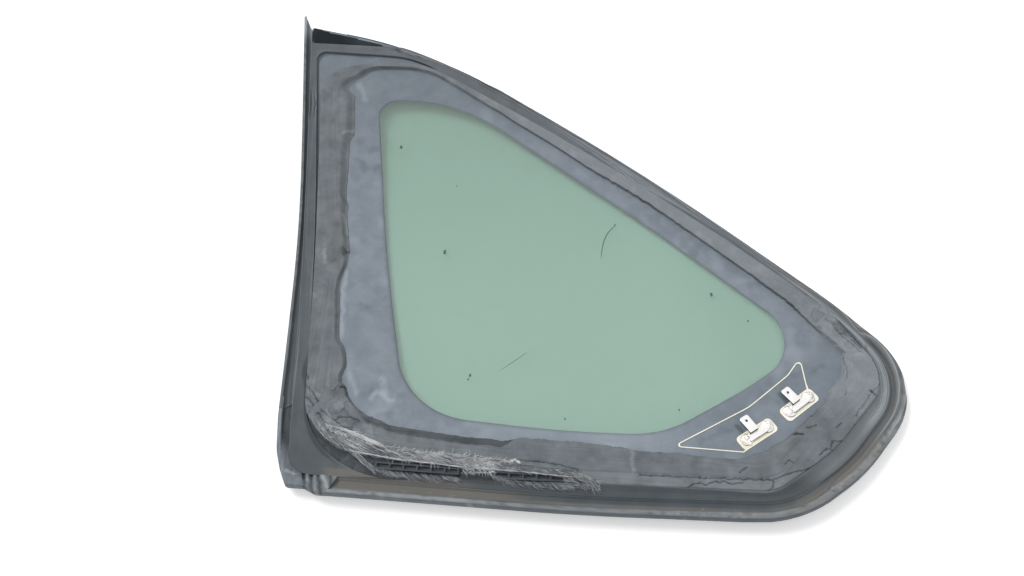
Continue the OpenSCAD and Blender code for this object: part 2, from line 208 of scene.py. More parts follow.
def softNoise(u, v, seed, period=0):
    # smooth noise from -1 to 1: random heights on a square lattice, blended by an
    # ease curve in each direction; period closes it along u
    table = np.random.default_rng(seed).random((256, 256)) * 2 - 1
    i, j = np.floor(u).astype(int), np.floor(v).astype(int)
    fu, fv = ease(u - i), ease(v - j)
    wrap = period or 256
    i0, i1 = i % wrap % 256, (i + 1) % wrap % 256
    j0, j1 = j % 256, (j + 1) % 256
    return ((table[i0, j0] * (1 - fu) + table[i1, j0] * fu) * (1 - fv)
            + (table[i0, j1] * (1 - fu) + table[i1, j1] * fu) * fv)


def cloud(x, y, size, seed, layers=3):
    # sum of ever finer and weaker noise, in plan
    total = sum(softNoise(x / size * 2 ** k, y / size * 2 ** k, seed + k) / 2 ** k
                for k in range(layers))
    return total / (2 - 2.0 ** (1 - layers))


def streaks(alongIndex, across, length, width, seed):
    # noise drawn out along the line: cells of the given length and width
    period = max(1, round(travel[-1] / length))
    return softNoise(travel[alongIndex] / travel[-1] * period, across / width, seed, period)


def facets(x, y, size, seed):
    # crumpled skin: the plane splits into the cells nearest to jittered lattice points,
    # each a facet at a height and tilt of its own; also how near a cell's border is
    draw = np.random.default_rng(seed)
    jitter, tilt = draw.random((64, 64, 2)), draw.normal(0, 1, (64, 64, 2))
    rise = draw.normal(0, 0.5, (64, 64))
    u, v = x / size, y / size
    i, j = np.floor(u).astype(int), np.floor(v).astype(int)
    best, second = np.full(x.shape, 1e9), np.full(x.shape, 1e9)
    height = np.zeros(x.shape)
    for di in (-1, 0, 1):
        for dj in (-1, 0, 1):
            a, b = (i + di) % 64, (j + dj) % 64
            du, dv = u - i - di - jitter[a, b, 0], v - j - dj - jitter[a, b, 1]
            far = np.hypot(du, dv)
            nearer = far < best
            second = np.where(nearer, best, np.minimum(second, far))
            height = np.where(nearer, rise[a, b] + tilt[a, b, 0] * du + tilt[a, b, 1] * dv,
                              height)
            best = np.where(nearer, far, best)
    return height, ease(1 - (second - best) / 0.22)


def cameraRays(pixels):
    # directions through pixels of the photograph, from the camera's place
    w, h = photo["width"], photo["height"]
    focal = photo["lens"] / photo["sensor"] * w
    tilt = math.radians(photo["elevation"])
    forward = np.array([0, math.cos(tilt), -math.sin(tilt)])
    up = np.array([0, math.sin(tilt), math.cos(tilt)])
    p = np.atleast_2d(np.array(pixels, float))
    place = np.array(photo["target"]) - forward * photo["distance"]
    return place, (forward + (p[:, :1] - w / 2) / focal * np.array([1, 0, 0])
                   - (p[:, 1:2] - h / 2) / focal * up)


def seenAt(pixels, h):
    # where the rays meet the cylinder that lies h inside the outer face
    place, ray = cameraRays(pixels)
    oy, oz = place[1] - pane["lowLineY"], place[2] - pane["bendRadius"]
    a = ray[:, 1] ** 2 + ray[:, 2] ** 2
    b = 2 * (oy * ray[:, 1] + oz * ray[:, 2])
    c = oy ** 2 + oz ** 2 - (pane["bendRadius"] - h) ** 2
    return place + ray * ((-b + np.sqrt(b * b - 4 * a * c)) / (2 * a))[:, None]


def distanceTo(xy, line):
    # shortest distance in plan from each point to a line of straight pieces
    line = np.array(line, float)[:, :2]
    best = np.full(xy.shape[:-1], 1e9)
    for a, b in zip(line[:-1], line[1:]):
        d = b - a
        f = np.clip(((xy - a) @ d) / max(d @ d, 1e-9), 0, 1)
        best = np.minimum(best, np.linalg.norm(xy - a - f[..., None] * d, axis=-1))
    return best


def traced(xy, lines, h, width):
    # 1 on any of the lines seen in the photograph, falling to 0 a width away
    best = np.full(xy.shape[:-1], 1e9)
    for line in lines:
        best = np.minimum(best, distanceTo(xy, seenAt(line, h)))
    return ease(1 - best / width)


def linked(name, data):
    made = bpy.data.objects.new(name, data)
    bpy.context.scene.collection.objects.link(made)
    return made


def addPiece(name, points, faces, material, marks=None):
    # smooth all over, apart from the caps that close an end: they stay flat, inside
    # sharp edges; marks are values from 0 to 1, painted on the points
    mesh = bpy.data.meshes.new(name)
    mesh.from_pydata((np.asarray(points).reshape(-1, 3) * mm).tolist(), [], faces)
    mesh.materials.append(material)
    corners = np.zeros(len(mesh.polygons), np.int32)
    mesh.polygons.foreach_get("loop_total", corners)
    mesh.polygons.foreach_set("use_smooth", corners < 5)
    edges = np.zeros(len(mesh.loops), np.int32)
    mesh.loops.foreach_get("edge_index", edges)
    sharp = np.zeros(len(mesh.edges), bool)
    sharp[edges[np.repeat(corners > 4, corners)]] = True
    mesh.attributes.new("sharp_edge", "BOOLEAN", "EDGE").data.foreach_set("value", sharp)
    for key, values in (marks or {}).items():
        layer = mesh.attributes.new(key, "FLOAT", "POINT")
        layer.data.foreach_set("value", np.clip(values, 0, 1).astype(np.float32).ravel())
    work = bmesh.new()
    work.from_mesh(mesh)
    if work.calc_volume(signed=True) < 0:
        mesh.flip_normals()
    work.free()
    piece = linked(name, mesh)
    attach(piece, "root")
    return piece


def padded(after, **marks):
    # marks of a height field carried on to the points before and after its columns
    return {key: np.pad(values, ((0, 0), (1, after)), "edge") for key, values in marks.items()}


def gridFaces(rows, columns, ringRows, ringColumns, first=0):
    # quads between neighbouring rows and columns of a grid, closed where asked
    i = np.arange(rows if ringRows else rows - 1)[:, None]
    j = np.arange(columns if ringColumns else columns - 1)[None, :]
    ni, nj = (i + 1) % rows, (j + 1) % columns
    quads = np.stack([i * columns + j, ni * columns + j, ni * columns + nj,
                      i * columns + nj], axis=-1).reshape(-1, 4)
    return (quads + first).tolist()


def tubeFaces(rows, columns, first=0):
    # a closed profile carried along an open path, with a cap at either end
    last = first + rows * columns
    return gridFaces(rows, columns, False, True, first) + [
        list(range(first, first + columns)), list(range(last - 1, last - columns - 1, -1))]


def addDomes(name, grids, material):
    # each grid runs round a rim and in to its last column, which is the pole, and a flat
    # face closes it below
    points, faces, first = [], [], 0
    for grid in grids:
        around, columns = grid.shape[0], grid.shape[1] - 1
        rim = np.arange(around) * columns
        inmost = rim + columns - 1
        fan = np.stack([inmost, np.roll(inmost, -1), np.full(around, around * columns)], 1)
        faces += gridFaces(around, columns, True, False, first) + (fan + first).tolist()
        faces += [(first + rim[::-1]).tolist()]
        points += [grid[:, :-1].reshape(-1, 3), grid[:1, -1]]
        first += around * columns + 1
    return addPiece(name, np.concatenate(points), faces, material)


def threads(centre, thick, sides, start=0):
    # rings of the given thickness round the points of one path, or of many at once
    ahead = unit(np.gradient(centre, axis=-2))
    sideways = unit(np.cross(ahead, [0.0, 0.0, 1.0]))
    upward = np.cross(sideways, ahead)
    turn = (np.arange(sides) * 2 * math.pi / sides + start)[:, None]
    ring = sideways[..., None, :] * np.cos(turn) + upward[..., None, :] * np.sin(turn)
    return centre[..., None, :] + ring * thick[..., None, None]


def rounded(sections, radii, arc=3):
    # each profile corner becomes a short curve that starts and ends a radius away
    before, after = np.roll(sections, 1, axis=1), np.roll(sections, -1, axis=1)
    radii = np.array(radii, float)[None, :, None]
    toA, toB = before - sections, after - sections
    a = sections + toA * np.minimum(radii / np.linalg.norm(toA, axis=2, keepdims=True), 0.45)
    b = sections + toB * np.minimum(radii / np.linalg.norm(toB, axis=2, keepdims=True), 0.45)
    f = np.linspace(0, 1, arc + 1)[None, None, :, None]
    curve = (a[:, :, None] * (1 - f) ** 2 + sections[:, :, None] * 2 * f * (1 - f)
             + b[:, :, None] * f ** 2)
    return curve.reshape(len(sections), -1, 3)


def withCuts(sections, longest, sides, arc=3):
    # the flat stretches that follow the named profile corners get points of their own
    following = np.roll(sections, -1, axis=1)
    gaps = np.linalg.norm(following - sections, axis=2).max(axis=0)
    parts = []
    for j, gap in enumerate(gaps):
        wanted = j % (arc + 1) == arc and j // (arc + 1) in sides
        n = math.ceil(gap / longest) if wanted else 1
        f = (np.arange(n) / n)[None, :, None]
        parts.append(sections[:, j:j + 1] * (1 - f) + following[:, j:j + 1] * f)
    return np.concatenate(parts, axis=1)


def outwardOf(grid, ringRows):
    # normals of a grid that is closed across, from its two directions
    rowStep = (np.roll(grid, -1, 0) - np.roll(grid, 1, 0) if ringRows
               else np.gradient(grid, axis=0))
    normal = np.cross(np.roll(grid, -1, 1) - np.roll(grid, 1, 1), rowStep)
    return normal / np.maximum(np.linalg.norm(normal, axis=2, keepdims=True), 1e-9)


def cadCopy(node, name):
    # the node's own mesh with its doubled points merged and flat facets joined
    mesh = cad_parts[node].data.copy()
    mesh.name = name
    work = bmesh.new()
    work.from_mesh(mesh)
    bmesh.ops.remove_doubles(work, verts=work.verts, dist=1e-6)
    bmesh.ops.dissolve_limit(work, angle_limit=math.radians(1), verts=work.verts,
                             edges=work.edges)
    work.to_mesh(mesh)
    work.free()
    piece = linked(name, mesh)
    piece.data.materials.clear()
    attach(piece, "root")
    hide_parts(node)
    return piece


def bevelled(piece, width, segments=2):
    bevel = piece.modifiers.new("bevel", "BEVEL")
    bevel.width = width * mm
    bevel.segments = segments
    bevel.limit_method = "ANGLE"
    bevel.angle_limit = math.radians(30)
    piece.data.polygons.foreach_set("use_smooth", np.ones(len(piece.data.polygons), bool))
    return piece


def linear(hexColour):
    values = [int(hexColour[i:i + 2], 16) / 255 for i in (0, 2, 4)]
    return [v / 12.92 if v <= 0.04045 else ((v + 0.055) / 1.055) ** 2.4 for v in values] + [1]


def addNode(tree, kind, settings=None, links=None):
    made = tree.nodes.new(kind)
    for key, value in (settings or {}).items():
        if isinstance(key, int) or key in made.inputs:
            made.inputs[key].default_value = value
        else:
            setattr(made, key, value)
    for key, socket in (links or {}).items():
        tree.links.new(socket, made.inputs[key])
    return made


def newMaterial(name):
    material = bpy.data.materials.new(name)
    material.use_nodes = True
    tree = material.node_tree
    tree.nodes.clear()
    return material, tree


# Contrast is the part of the clouds' range that the two tones share, broken turns the
# grain to the share of a mark that stays, and marks are the strengths of the marks. The
# looks give clouds and grain in millimetres; the real grain is finer and is drawn as
# coarse as it needs to show.
wear = {"contrast": [0.35, 0.65], "speckled": [0.3, 0.75], "broken": [0.7, 0.65],
        "marks": {"dust": 0.9, "scuff": 0.95, "shade": 0.9}, "roughSpread": 0.08,
        "grainDepth": 0.25}


def weathered(name, look):
    # two tones in soft clouds, a fine grain, and the marks painted on the mesh: dust
    # in the hollows, pale scuffs on what was rubbed or torn and painted highlights, dark in
    # the cracks and painted shade
    material, tree = newMaterial(name)
    place = addNode(tree, "ShaderNodeTexCoord").outputs["Object"]
    clouds = addNode(tree, "ShaderNodeTexNoise",
                     {"Scale": 1 / (look["cloud"] * mm), "Detail": 5, "Roughness": 0.6},
                     {"Vector": place})
    grain = addNode(tree, "ShaderNodeTexNoise",
                    {"Scale": 1 / (look["grain"] * mm), "Detail": 3, "Roughness": 0.7},
                    {"Vector": place})
    sharper = addNode(tree, "ShaderNodeMapRange",
                      {"From Min": wear["contrast"][0], "From Max": wear["contrast"][1]},
                      {"Value": clouds.outputs[0]})
    colour = addNode(tree, "ShaderNodeMix",
                     {"data_type": "RGBA", 6: linear(look["tone"]), 7: linear(look["second"])},
                     {0: sharper.outputs[0]}).outputs[2]
    speckle = addNode(tree, "ShaderNodeMapRange",
                      {"From Min": wear["speckled"][0], "From Max": wear["speckled"][1],
                       "To Min": 1 - look["speckle"], "To Max": 1 + look["speckle"]},
                      {"Value": grain.outputs[0]})
    colour = addNode(tree, "ShaderNodeMix",
                     {"data_type": "RGBA", "blend_type": "MULTIPLY", 0: 1.0},
                     {6: colour, 7: speckle.outputs[0]}).outputs[2]
    broken = addNode(tree, "ShaderNodeMath",
                     {"operation": "MULTIPLY_ADD", 1: wear["broken"][0], 2: wear["broken"][1]},
                     {0: grain.outputs[0]})
    for mark, strength in wear["marks"].items():
        painted = addNode(tree, "ShaderNodeAttribute", {"attribute_name": mark})
        left = addNode(tree, "ShaderNodeMath", {"operation": "MULTIPLY", "use_clamp": True},
                       {0: painted.outputs["Fac"], 1: broken.outputs[0]})
        amount = addNode(tree, "ShaderNodeMath", {"operation": "MULTIPLY", 1: strength},
                         {0: left.outputs[0]})
        colour = addNode(tree, "ShaderNodeMix", {"data_type": "RGBA", 7: linear(look[mark])},
                         {0: amount.outputs[0], 6: colour}).outputs[2]
    rough = addNode(tree, "ShaderNodeMapRange",
                    {"To Min": look["roughness"] - wear["roughSpread"],
                     "To Max": look["roughness"] + wear["roughSpread"]},
                    {"Value": grain.outputs[0]})
    relief = addNode(tree, "ShaderNodeBump",
                     {"Strength": look["relief"],
                      "Distance": look["grain"] * mm * wear["grainDepth"]},
                     {"Height": grain.outputs[0]})
    shader = addNode(tree, "ShaderNodeBsdfPrincipled", {"Specular IOR Level": look["gloss"]},
                     {"Base Color": colour, "Roughness": rough.outputs[0],
                      "Normal": relief.outputs[0]})
    addNode(tree, "ShaderNodeOutputMaterial", None, {"Surface": shader.outputs[0]})
    return material


def glassMaterial(name, look):
    # smooth dielectric that the lamps shine through as through a tinted clear film; the
    # film mark on the mesh is painted shade, blending towards the darker tint
    material, tree = newMaterial(name)
    film = addNode(tree, "ShaderNodeAttribute", {"attribute_name": "film"})
    tint = addNode(tree, "ShaderNodeMix",
                   {"data_type": "RGBA", 6: linear(look["tint"]), 7: linear(look["shadedTint"])},
                   {0: film.outputs["Fac"]})
    shader = addNode(tree, "ShaderNodeBsdfPrincipled",
                     {"Transmission Weight": 1, "IOR": look["ior"],
                      "Roughness": look["roughness"]}, {"Base Color": tint.outputs[2]})
    clear = addNode(tree, "ShaderNodeBsdfTransparent", {"Color": linear(look["passes"])})
    path = addNode(tree, "ShaderNodeLightPath")
    mixed = addNode(tree, "ShaderNodeMixShader", None,
                    {0: path.outputs["Is Shadow Ray"], 1: shader.outputs[0],
                     2: clear.outputs[0]})
    addNode(tree, "ShaderNodeOutputMaterial", None, {"Surface": mixed.outputs[0]})
    return material


def metalMaterial(name, look):
    # bare metal whose tone and roughness wander in small clouds, slightly uneven
    material, tree = newMaterial(name)
    place = addNode(tree, "ShaderNodeTexCoord").outputs["Object"]
    clouds = addNode(tree, "ShaderNodeTexNoise",
                     {"Scale": 1 / (look["cloud"] * mm), "Detail": 4, "Roughness": 0.6},
                     {"Vector": place})
    colour = addNode(tree, "ShaderNodeMix",
                     {"data_type": "RGBA", 6: linear(look["tone"]), 7: linear(look["second"])},
                     {0: clouds.outputs[0]}).outputs[2]
    rough = addNode(tree, "ShaderNodeMapRange",
                    {"To Min": look["roughness"] - 0.1, "To Max": look["roughness"] + 0.12},
                    {"Value": clouds.outputs[0]})
    relief = addNode(tree, "ShaderNodeBump", {"Strength": 0.3, "Distance": 0.1 * mm},
                     {"Height": clouds.outputs[0]})
    shader = addNode(tree, "ShaderNodeBsdfPrincipled", {"Metallic": 1},
                     {"Base Color": colour, "Roughness": rough.outputs[0],
                      "Normal": relief.outputs[0]})
    addNode(tree, "ShaderNodeOutputMaterial", None, {"Surface": shader.outputs[0]})
    return material


# Toughened soda-lime glass, tinted green in the melt: clear, smooth, a soft green that
# deepens with thickness, with painted shade that darkens it towards the top and the rear.
glassMade = glassMaterial("toughenedTintedGlass", {
    "tint": "A7BAB2", "shadedTint": "A0B3AB", "passes": "A6B8B0", "ior": 1.52, "roughness": 0.07})

# Black ceramic enamel fired on the glass, under a grey film of primer and road dust:
# flat blue-grey with wiped patches, and deep, glossy black-blue where it stayed clean.
printMade = weathered("dustyCeramicPrint", {
    "tone": "77808A", "second": "848D97", "dust": "77797B", "scuff": "AAB3BB",
    "shade": "505960", "cloud": 13, "grain": 1.0, "speckle": 0.07,
    "roughness": 0.62, "gloss": 0.35, "relief": 0.15})
bareMade = weathered("cleanCeramicPrint", {
    "tone": "10181D", "second": "161F25", "dust": "39424A", "scuff": "4A545D",
    "shade": "151B20", "cloud": 9, "grain": 0.8, "speckle": 0.05,
    "roughness": 0.5, "gloss": 0.12, "relief": 0.05})

# Injection-moulded rubber seal, weathered outdoors: dull dark grey, chalked paler on
# the ribs and on the corner block, with brown road dust settled in its hollows; painted
# shade darkens its channels and slopes, painted highlights lighten ridges and walls.
rubberMade = weathered("weatheredMouldedRubber", {
    "tone": "575E63", "second": "646B71", "dust": "6E6960", "scuff": "9AA0A5",
    "shade": "2F353A", "cloud": 14, "grain": 0.9, "speckle": 0.12,
    "roughness": 0.66, "gloss": 0.35, "relief": 0.35})
blockMade = weathered("paleMouldedRubber", {
    "tone": "646C73", "second": "757D85", "dust": "756F64", "scuff": "A6ACB1",
    "shade": "2F353A", "cloud": 7, "grain": 0.9, "speckle": 0.12,
    "roughness": 0.6, "gloss": 0.4, "relief": 0.35})

# Cured polyurethane adhesive, sliced with a cold knife: matt mid grey, drawn into
# streaks by the blade, torn open in places and dusty.
adhesiveMade = weathered("knifeCutPolyurethane", {
    "tone": "6A7176", "second": "777E83", "dust": "76736E", "scuff": "9CA2A7",
    "shade": "2E3337", "cloud": 12, "grain": 0.8, "speckle": 0.11,
    "roughness": 0.74, "gloss": 0.28, "relief": 0.4})

# Torn rubber and adhesive strands: stretched pale where they parted, so almost white.
strandMade = weathered("tornRubberStrands", {
    "tone": "7E848A", "second": "8B9197", "dust": "8E8A84", "scuff": "F2F4F6",
    "shade": "3A4046", "cloud": 5, "grain": 0.6, "speckle": 0.1,
    "roughness": 0.7, "gloss": 0.3, "relief": 0.2})

# Injection-moulded plastic of the locating cells: dark, even and slightly shiny.
cellMade = weathered("mouldedCellPlastic", {
    "tone": "353B40", "second": "40464B", "dust": "5B564F", "scuff": "7A7F84",
    "shade": "1C1E21", "cloud": 8, "grain": 0.7, "speckle": 0.1,
    "roughness": 0.55, "gloss": 0.4, "relief": 0.2})

# Fired silver paste: an opaque cream film, yellowed by sulphur where it lies open.
silverMade = weathered("firedSilverPaste", {
    "tone": "FDFDF8", "second": "F4EFCE", "dust": "DAD3B4", "scuff": "FAF8F0",
    "shade": "B5AE94", "cloud": 12, "grain": 0.7, "speckle": 0.03,
    "roughness": 0.5, "gloss": 0.5, "relief": 0.12})

# Dried dirt on the glass: small dark olive crumbs.
dirtMade = weathered("driedDirt", {
    "tone": "52615A", "second": "64736B", "dust": "5A5E58", "scuff": "6E756F",
    "shade": "262D2A", "cloud": 1.5, "grain": 0.5, "speckle": 0.2,
    "roughness": 0.8, "gloss": 0.2, "relief": 0.2})

# Tinned brass blades and lead-free solder: bright, slightly dulled metal; the blades'
# stamped edges are painted nearly black, as shade and dark reflection.
bladeMade = metalMaterial("tinnedBrass", {
    "tone": "FBFBFA", "second": "EFEEEC", "roughness": 0.3, "cloud": 3})
solderMade = metalMaterial("softSolder", {
    "tone": "FFFDFB", "second": "EFE4DC", "roughness": 0.45, "cloud": 1.3})
bladeEdgeShadeMade = metalMaterial("shadedBladeEdge", {
    "tone": "3A3835", "second": "4C4843", "roughness": 0.5, "cloud": 1})
print("materials ready")

# What the photograph shows on the adhesive and the print, as pixels of it
seen = {
    "outer": [[296, 384], [298, 394], [303, 407], [310, 418], [317, 428], [326, 438], [336, 446],
        [350, 451.5], [364, 453], [390, 458.5], [417, 462], [444, 465], [463, 467], [480, 469],
        [500, 471], [520, 472.5], [545, 475], [568, 477], [584, 481], [598, 487], [606, 494]],
    # the dam's line and the blades' shadows are painted shadow on the print
    "damLine": [[[318, 190], [318, 120], [318, 66], [319.5, 60], [323, 56.5], [330, 54], [350, 55],
        [372, 57.5]]],
    "bladeShadows": [[[780, 394], [791, 407]], [[737, 426], [748, 438]]],
    "cracks": [[[772, 480], [788, 474], [801, 471], [817, 466], [828, 458]],
        [[880, 384], [879, 376], [876, 366], [870, 353], [861, 344], [851, 335]],
        [[843, 357], [846, 366], [848, 372], [847, 379]], [[838, 353], [843, 353]],
        [[807, 428], [816, 425]], [[739, 473], [747, 468]], [[785, 464], [789, 461], [794, 463]],
        [[836, 428], [842, 423]], [[862, 408], [867, 400], [870, 394]],
        [[820, 455], [826, 449], [832, 450]], [[831, 448], [833, 441], [844, 441], [850, 436]],
        [[846, 391], [846, 396]], [[874, 360], [880, 378], [879, 387], [872, 392]],
        [[870, 396], [860, 409], [856, 416]], [[774, 480], [773, 486], [769, 492]],
        [[640, 475], [683, 477], [733, 479], [772, 480]], [[688, 488], [694, 484], [701, 483],
        [706, 485], [715, 481], [720, 483], [724, 481], [729, 484], [742, 483]],
        [[855, 425], [861, 430], [868, 424]], [[321, 409], [326, 413], [330, 418], [334, 420.5],
        [338, 417], [342, 416], [348, 416.5], [354, 417.5], [360, 421]],
        [[318, 412], [322, 418], [327, 425], [333, 432]], [[336, 421], [343, 426], [350, 428]],
        [[330, 428], [326, 433], [333, 437]], [[300, 374], [304, 383], [312, 391], [318, 401]],
        [[520, 460.5], [545, 463], [562, 466], [578, 470]], [[303, 366], [306, 372], [309, 379]],
        [[325, 432], [331, 440]], [[300, 395], [309, 398], [313, 405]]],
    "creases": [[[396, 49], [401, 53]], [[407, 54], [421, 58]], [[385, 44], [392, 50], [397, 49]],
        [[826, 318], [838, 328], [850, 338], [862, 349]],
        [[832, 320], [845, 331], [859, 345], [868, 353]],
        [[834, 327], [842, 335], [853, 345], [862, 353]], [[838, 322], [852, 335], [866, 348]]],
    "deep": [[[871, 391], [876, 395]], [[297, 371], [299, 375]], [[341, 386], [346, 386]],
        [[794, 434], [803, 434]], [[826, 380], [827, 382]]],
    "smears": [[[535, 105], [549, 118]], [[552, 126], [560, 129]], [[632, 452], [633, 471]],
        [[344, 132], [359, 126]], [[324, 250], [325, 262]], [[344, 214], [347, 232]]],
    "inner": [[344, 345], [346, 353], [347, 368], [341, 371], [342, 382], [346, 386], [352, 395],
        [356, 406], [372, 416], [388, 424], [404, 427.5], [428, 431], [462, 436], [503, 440],
        [520, 438.5], [570, 442], [620, 447.5], [640, 452], [676, 453], [711, 457], [740, 458.5],
        [756, 453], [769, 447], [785, 439], [799, 426], [817, 410], [826, 400], [829, 389], [824, 383],
        [823, 375], [826, 363], [838, 357], [843, 354], [820, 334], [790, 305], [750, 275], [700, 240],
        [650, 206], [600, 176], [560, 151], [530, 133], [500, 113], [480, 103], [457, 89], [440, 80],
        [426, 75], [406, 72], [394, 70], [382, 71], [372, 75], [360, 77.5], [353, 82], [348, 88],
        [351, 92], [358, 97], [363, 105], [365, 114], [364, 119], [361, 124], [357, 131], [352, 137],
        [350, 141], [349, 162], [347.5, 178], [347, 188], [346, 197], [349, 207], [347.5, 213],
        [349, 233], [350, 259], [345, 260], [342, 272], [340.5, 283], [340, 315], [339, 333],
        [340, 340], [344, 345]],
    "wiped": [[[347, 372], [352, 380], [356, 392]], [[358, 84], [366, 100]],
        [[380, 378], [384, 386], [382, 392], [391, 401]], [[372, 398], [377, 390]],
        [[346, 270], [343, 300], [342, 335]]],
    "smudges": [[[771, 399], [777, 404]], [[720, 429], [725, 431]], [[383, 163], [374, 170]],
        [[362, 395], [372, 388], [384, 386]], [[400, 100], [430, 92]], [[365, 100], [380, 110]],
        [[358, 160], [366, 168]], [[362, 306], [368, 308]], [[812, 372], [822, 366]],
        [[700, 441], [730, 430]]]}


def jagged(xy, seed, size=0.5, cell=1.3):
    # moves points a little, so that lines traced through them come out ragged
    x, y = xy[..., 0], xy[..., 1]
    return xy + size * np.stack([softNoise(x / cell, y / cell, seed),
                                 softNoise(x / cell, y / cell, seed + 1)], axis=-1)


def crossing(p, q, line, furthest):
    # share of the way from p to q at which each row meets a line of straight pieces
    best = np.full(len(p), np.nan)
    d = q - p
    for a, b in zip(line[:-1], line[1:]):
        e, w = b - a, a - p
        det = e[0] * d[:, 1] - d[:, 0] * e[1]
        det = np.where(abs(det) < 1e-9, 1e-9, det)
        share = (e[0] * w[:, 1] - w[:, 0] * e[1]) / det
        onPiece = (d[:, 0] * w[:, 1] - w[:, 0] * d[:, 1]) / det
        hit = (onPiece >= 0) & (onPiece <= 1) & (abs(share) < furthest)
        best = np.where(hit & ~(best < share), share, best)
    return best


# Edge is the width of the ground edge; rings and arc are the points over a face and
# round the edge.
glass = {"edge": 1.1, "rings": 26, "arc": 9, "middle": [-30, -20]}


def buildPane():
    # fan of rings from the middle to a pencil-ground edge: the edge is half an ellipse
    # as deep as the pane is thick, and both faces follow the bend
    line = glassLine[::3]
    t = pane["thickness"]
    inner = line[:, :2] - line[:, 2:] * glass["edge"]
    middle = np.array(glass["middle"], float)
    shares = np.linspace(0, 1, glass["rings"])[1:]
    face = middle + (inner - middle)[:, None, :] * shares[None, :, None]
    angle = np.linspace(math.pi / 2, -math.pi / 2, glass["arc"])[1:-1]
    edge = inner[:, None] + line[:, None, 2:] * (glass["edge"] * np.cos(angle))[None, :, None]
    edgeHeight = np.broadcast_to(t / 2 + t / 2 * np.sin(angle), edge.shape[:2])
    points = np.concatenate([onPane(face, t), onPane(edge, edgeHeight),
                             onPane(face[:, ::-1], 0)], axis=1)
    rows, columns = points.shape[:2]
    poles = np.stack([onPane(middle, t), onPane(middle, 0)])
    start = np.arange(rows) * columns
    end, pole = start + columns - 1, rows * columns
    fans = np.concatenate([
        np.stack([np.roll(start, -1), start, np.full(rows, pole)], 1),
        np.stack([end, np.roll(end, -1), np.full(rows, pole + 1)], 1)])
    faces = gridFaces(rows, columns, True, False) + fans.tolist()
    places = np.concatenate([points.reshape(-1, 3), poles])
    # painted shade: the film mark darkens the glass towards the top and the rear
    film = ease((places[:, 1] + 100) / 200) + 0.6 * ease((places[:, 0] - 40) / 70)
    piece = addPiece("glassPane", places, faces, glassMade, {"film": np.clip(film, 0, 1) ** 2})
    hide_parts("glass_pane")


# Held back from the glass edge by "back", less in the bare corner, where a rim of film
# stays that widens rearward
border = {"middle": np.array([-30.0, -20.0]), "columns": 64, "back": 1.4, "bareBack": 0.4,
          "thin": 2.5, "least": 0.03, "underside": 9, "rim": 2.3, "rimGrows": 0.03,
          "rimFrom": -185, "ragged": 1.6, "wiped": 3.2, "smudged": 4.5, "line": 1.6,
          "marks": {"wiped": 0.5, "haze": 0.3, "smudge": 0.4, "thin": 0.45, "top": 0.3,
                    "rear": 0.22}}


def buildPrint():
    # band from the clear view to the edge of the glass: both lines are read off at the
    # same angle round a middle point, and the band thins away towards the view
    line = glassLine[::2]
    bared = ease(pastBare(line) / 2)[:, None]
    outer = line[:, :2] - line[:, 2:] * (border["back"] * (1 - bared) + border["bareBack"] * bared)
    view = lineRound(viewCorners, lineSteps(viewCorners, 0.5))[:, :2] - border["middle"]
    angle = np.arctan2(view[:, 1], view[:, 0])
    order = np.argsort(angle)
    away = outer - border["middle"]
    radius = np.interp(np.arctan2(away[:, 1], away[:, 0]), angle[order],
                       np.linalg.norm(view, axis=1)[order], period=2 * math.pi)
    inner = border["middle"] + unit(away) * radius[:, None]
    shares = np.linspace(0, 1, border["columns"])
    plan = inner[:, None] + (outer - inner)[:, None] * shares[None, :, None]
    width = np.linalg.norm(outer - inner, axis=1)[:, None] * shares[None]
    top = pane["thickness"] + border["least"] + (
        pane["print"] - border["least"]) * ease(width / border["thin"])
    picked = np.linspace(border["columns"] - 1, 0, border["underside"]).round().astype(int)
    lying = np.full((len(line), border["underside"]), pane["thickness"])
    points = np.concatenate([onPane(plan, top), onPane(plan[:, picked], lying)], 1)
    x, y = plan[..., 0], plan[..., 1]
    mark = border["marks"]
    rough = jagged(plan, 15, border["ragged"], 4)
    wiped = traced(rough, seen["wiped"], borderHeight, border["wiped"])
    smudged = traced(rough, seen["smudges"], borderHeight, border["smudged"])
    haze = ease((x + 80) / 40) * ease((70 - x) / 40) * ease((-108 - y) / 12)
    scuff = np.clip(cloud(x, y, 22, 11) * 0.9 - 0.15, 0, 0.4) + mark["wiped"] * wiped
    scuff = scuff + haze * (mark["haze"] + 0.2 * cloud(x, y, 18, 16))
    # darker in clouds, at the thin inner edge, towards the top and at the rear of the sill;
    # painted shadow along the foot of the dam at the top corner and under the blades
    shade = np.max([
        np.clip(cloud(x, y, 12, 12) * 0.9 - 0.25, 0, 0.35) + mark["smudge"] * smudged,
        mark["thin"] * ease(1 - width / 3.0), mark["top"] * ease((y - 80) / 40),
        traced(plan, seen["damLine"], borderHeight, border["line"]),
        traced(plan, seen["bladeShadows"], borderHeight, border["wiped"]),
        mark["rear"] * ease((x - 60) / 40) * ease((-60 - y) / 40)], axis=0)
    under = np.zeros(lying.shape)
    marks = {"scuff": np.concatenate([scuff, under], 1),
             "shade": np.concatenate([shade, under], 1), "dust": np.zeros(points.shape[:2])}
    piece = addPiece("printedBorder", points, gridFaces(*points.shape[:2], True, True),
                     printMade, marks)
    piece.data.materials.append(bareMade)
    reach = border["rim"] + border["rimGrows"] * (x - border["rimFrom"])
    rim = (apart(plan, outer) < reach) & (x > border["rimFrom"] - 1)
    bare = np.concatenate([(pastBare(plan) > -2) & ~rim, np.ones(lying.shape, bool)], axis=1)
    piece.data.polygons.foreach_set("material_index", bare.ravel().astype(np.int32))
    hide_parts("frit_band")


buildPane()
buildPrint()
print("glass and printed border ready")


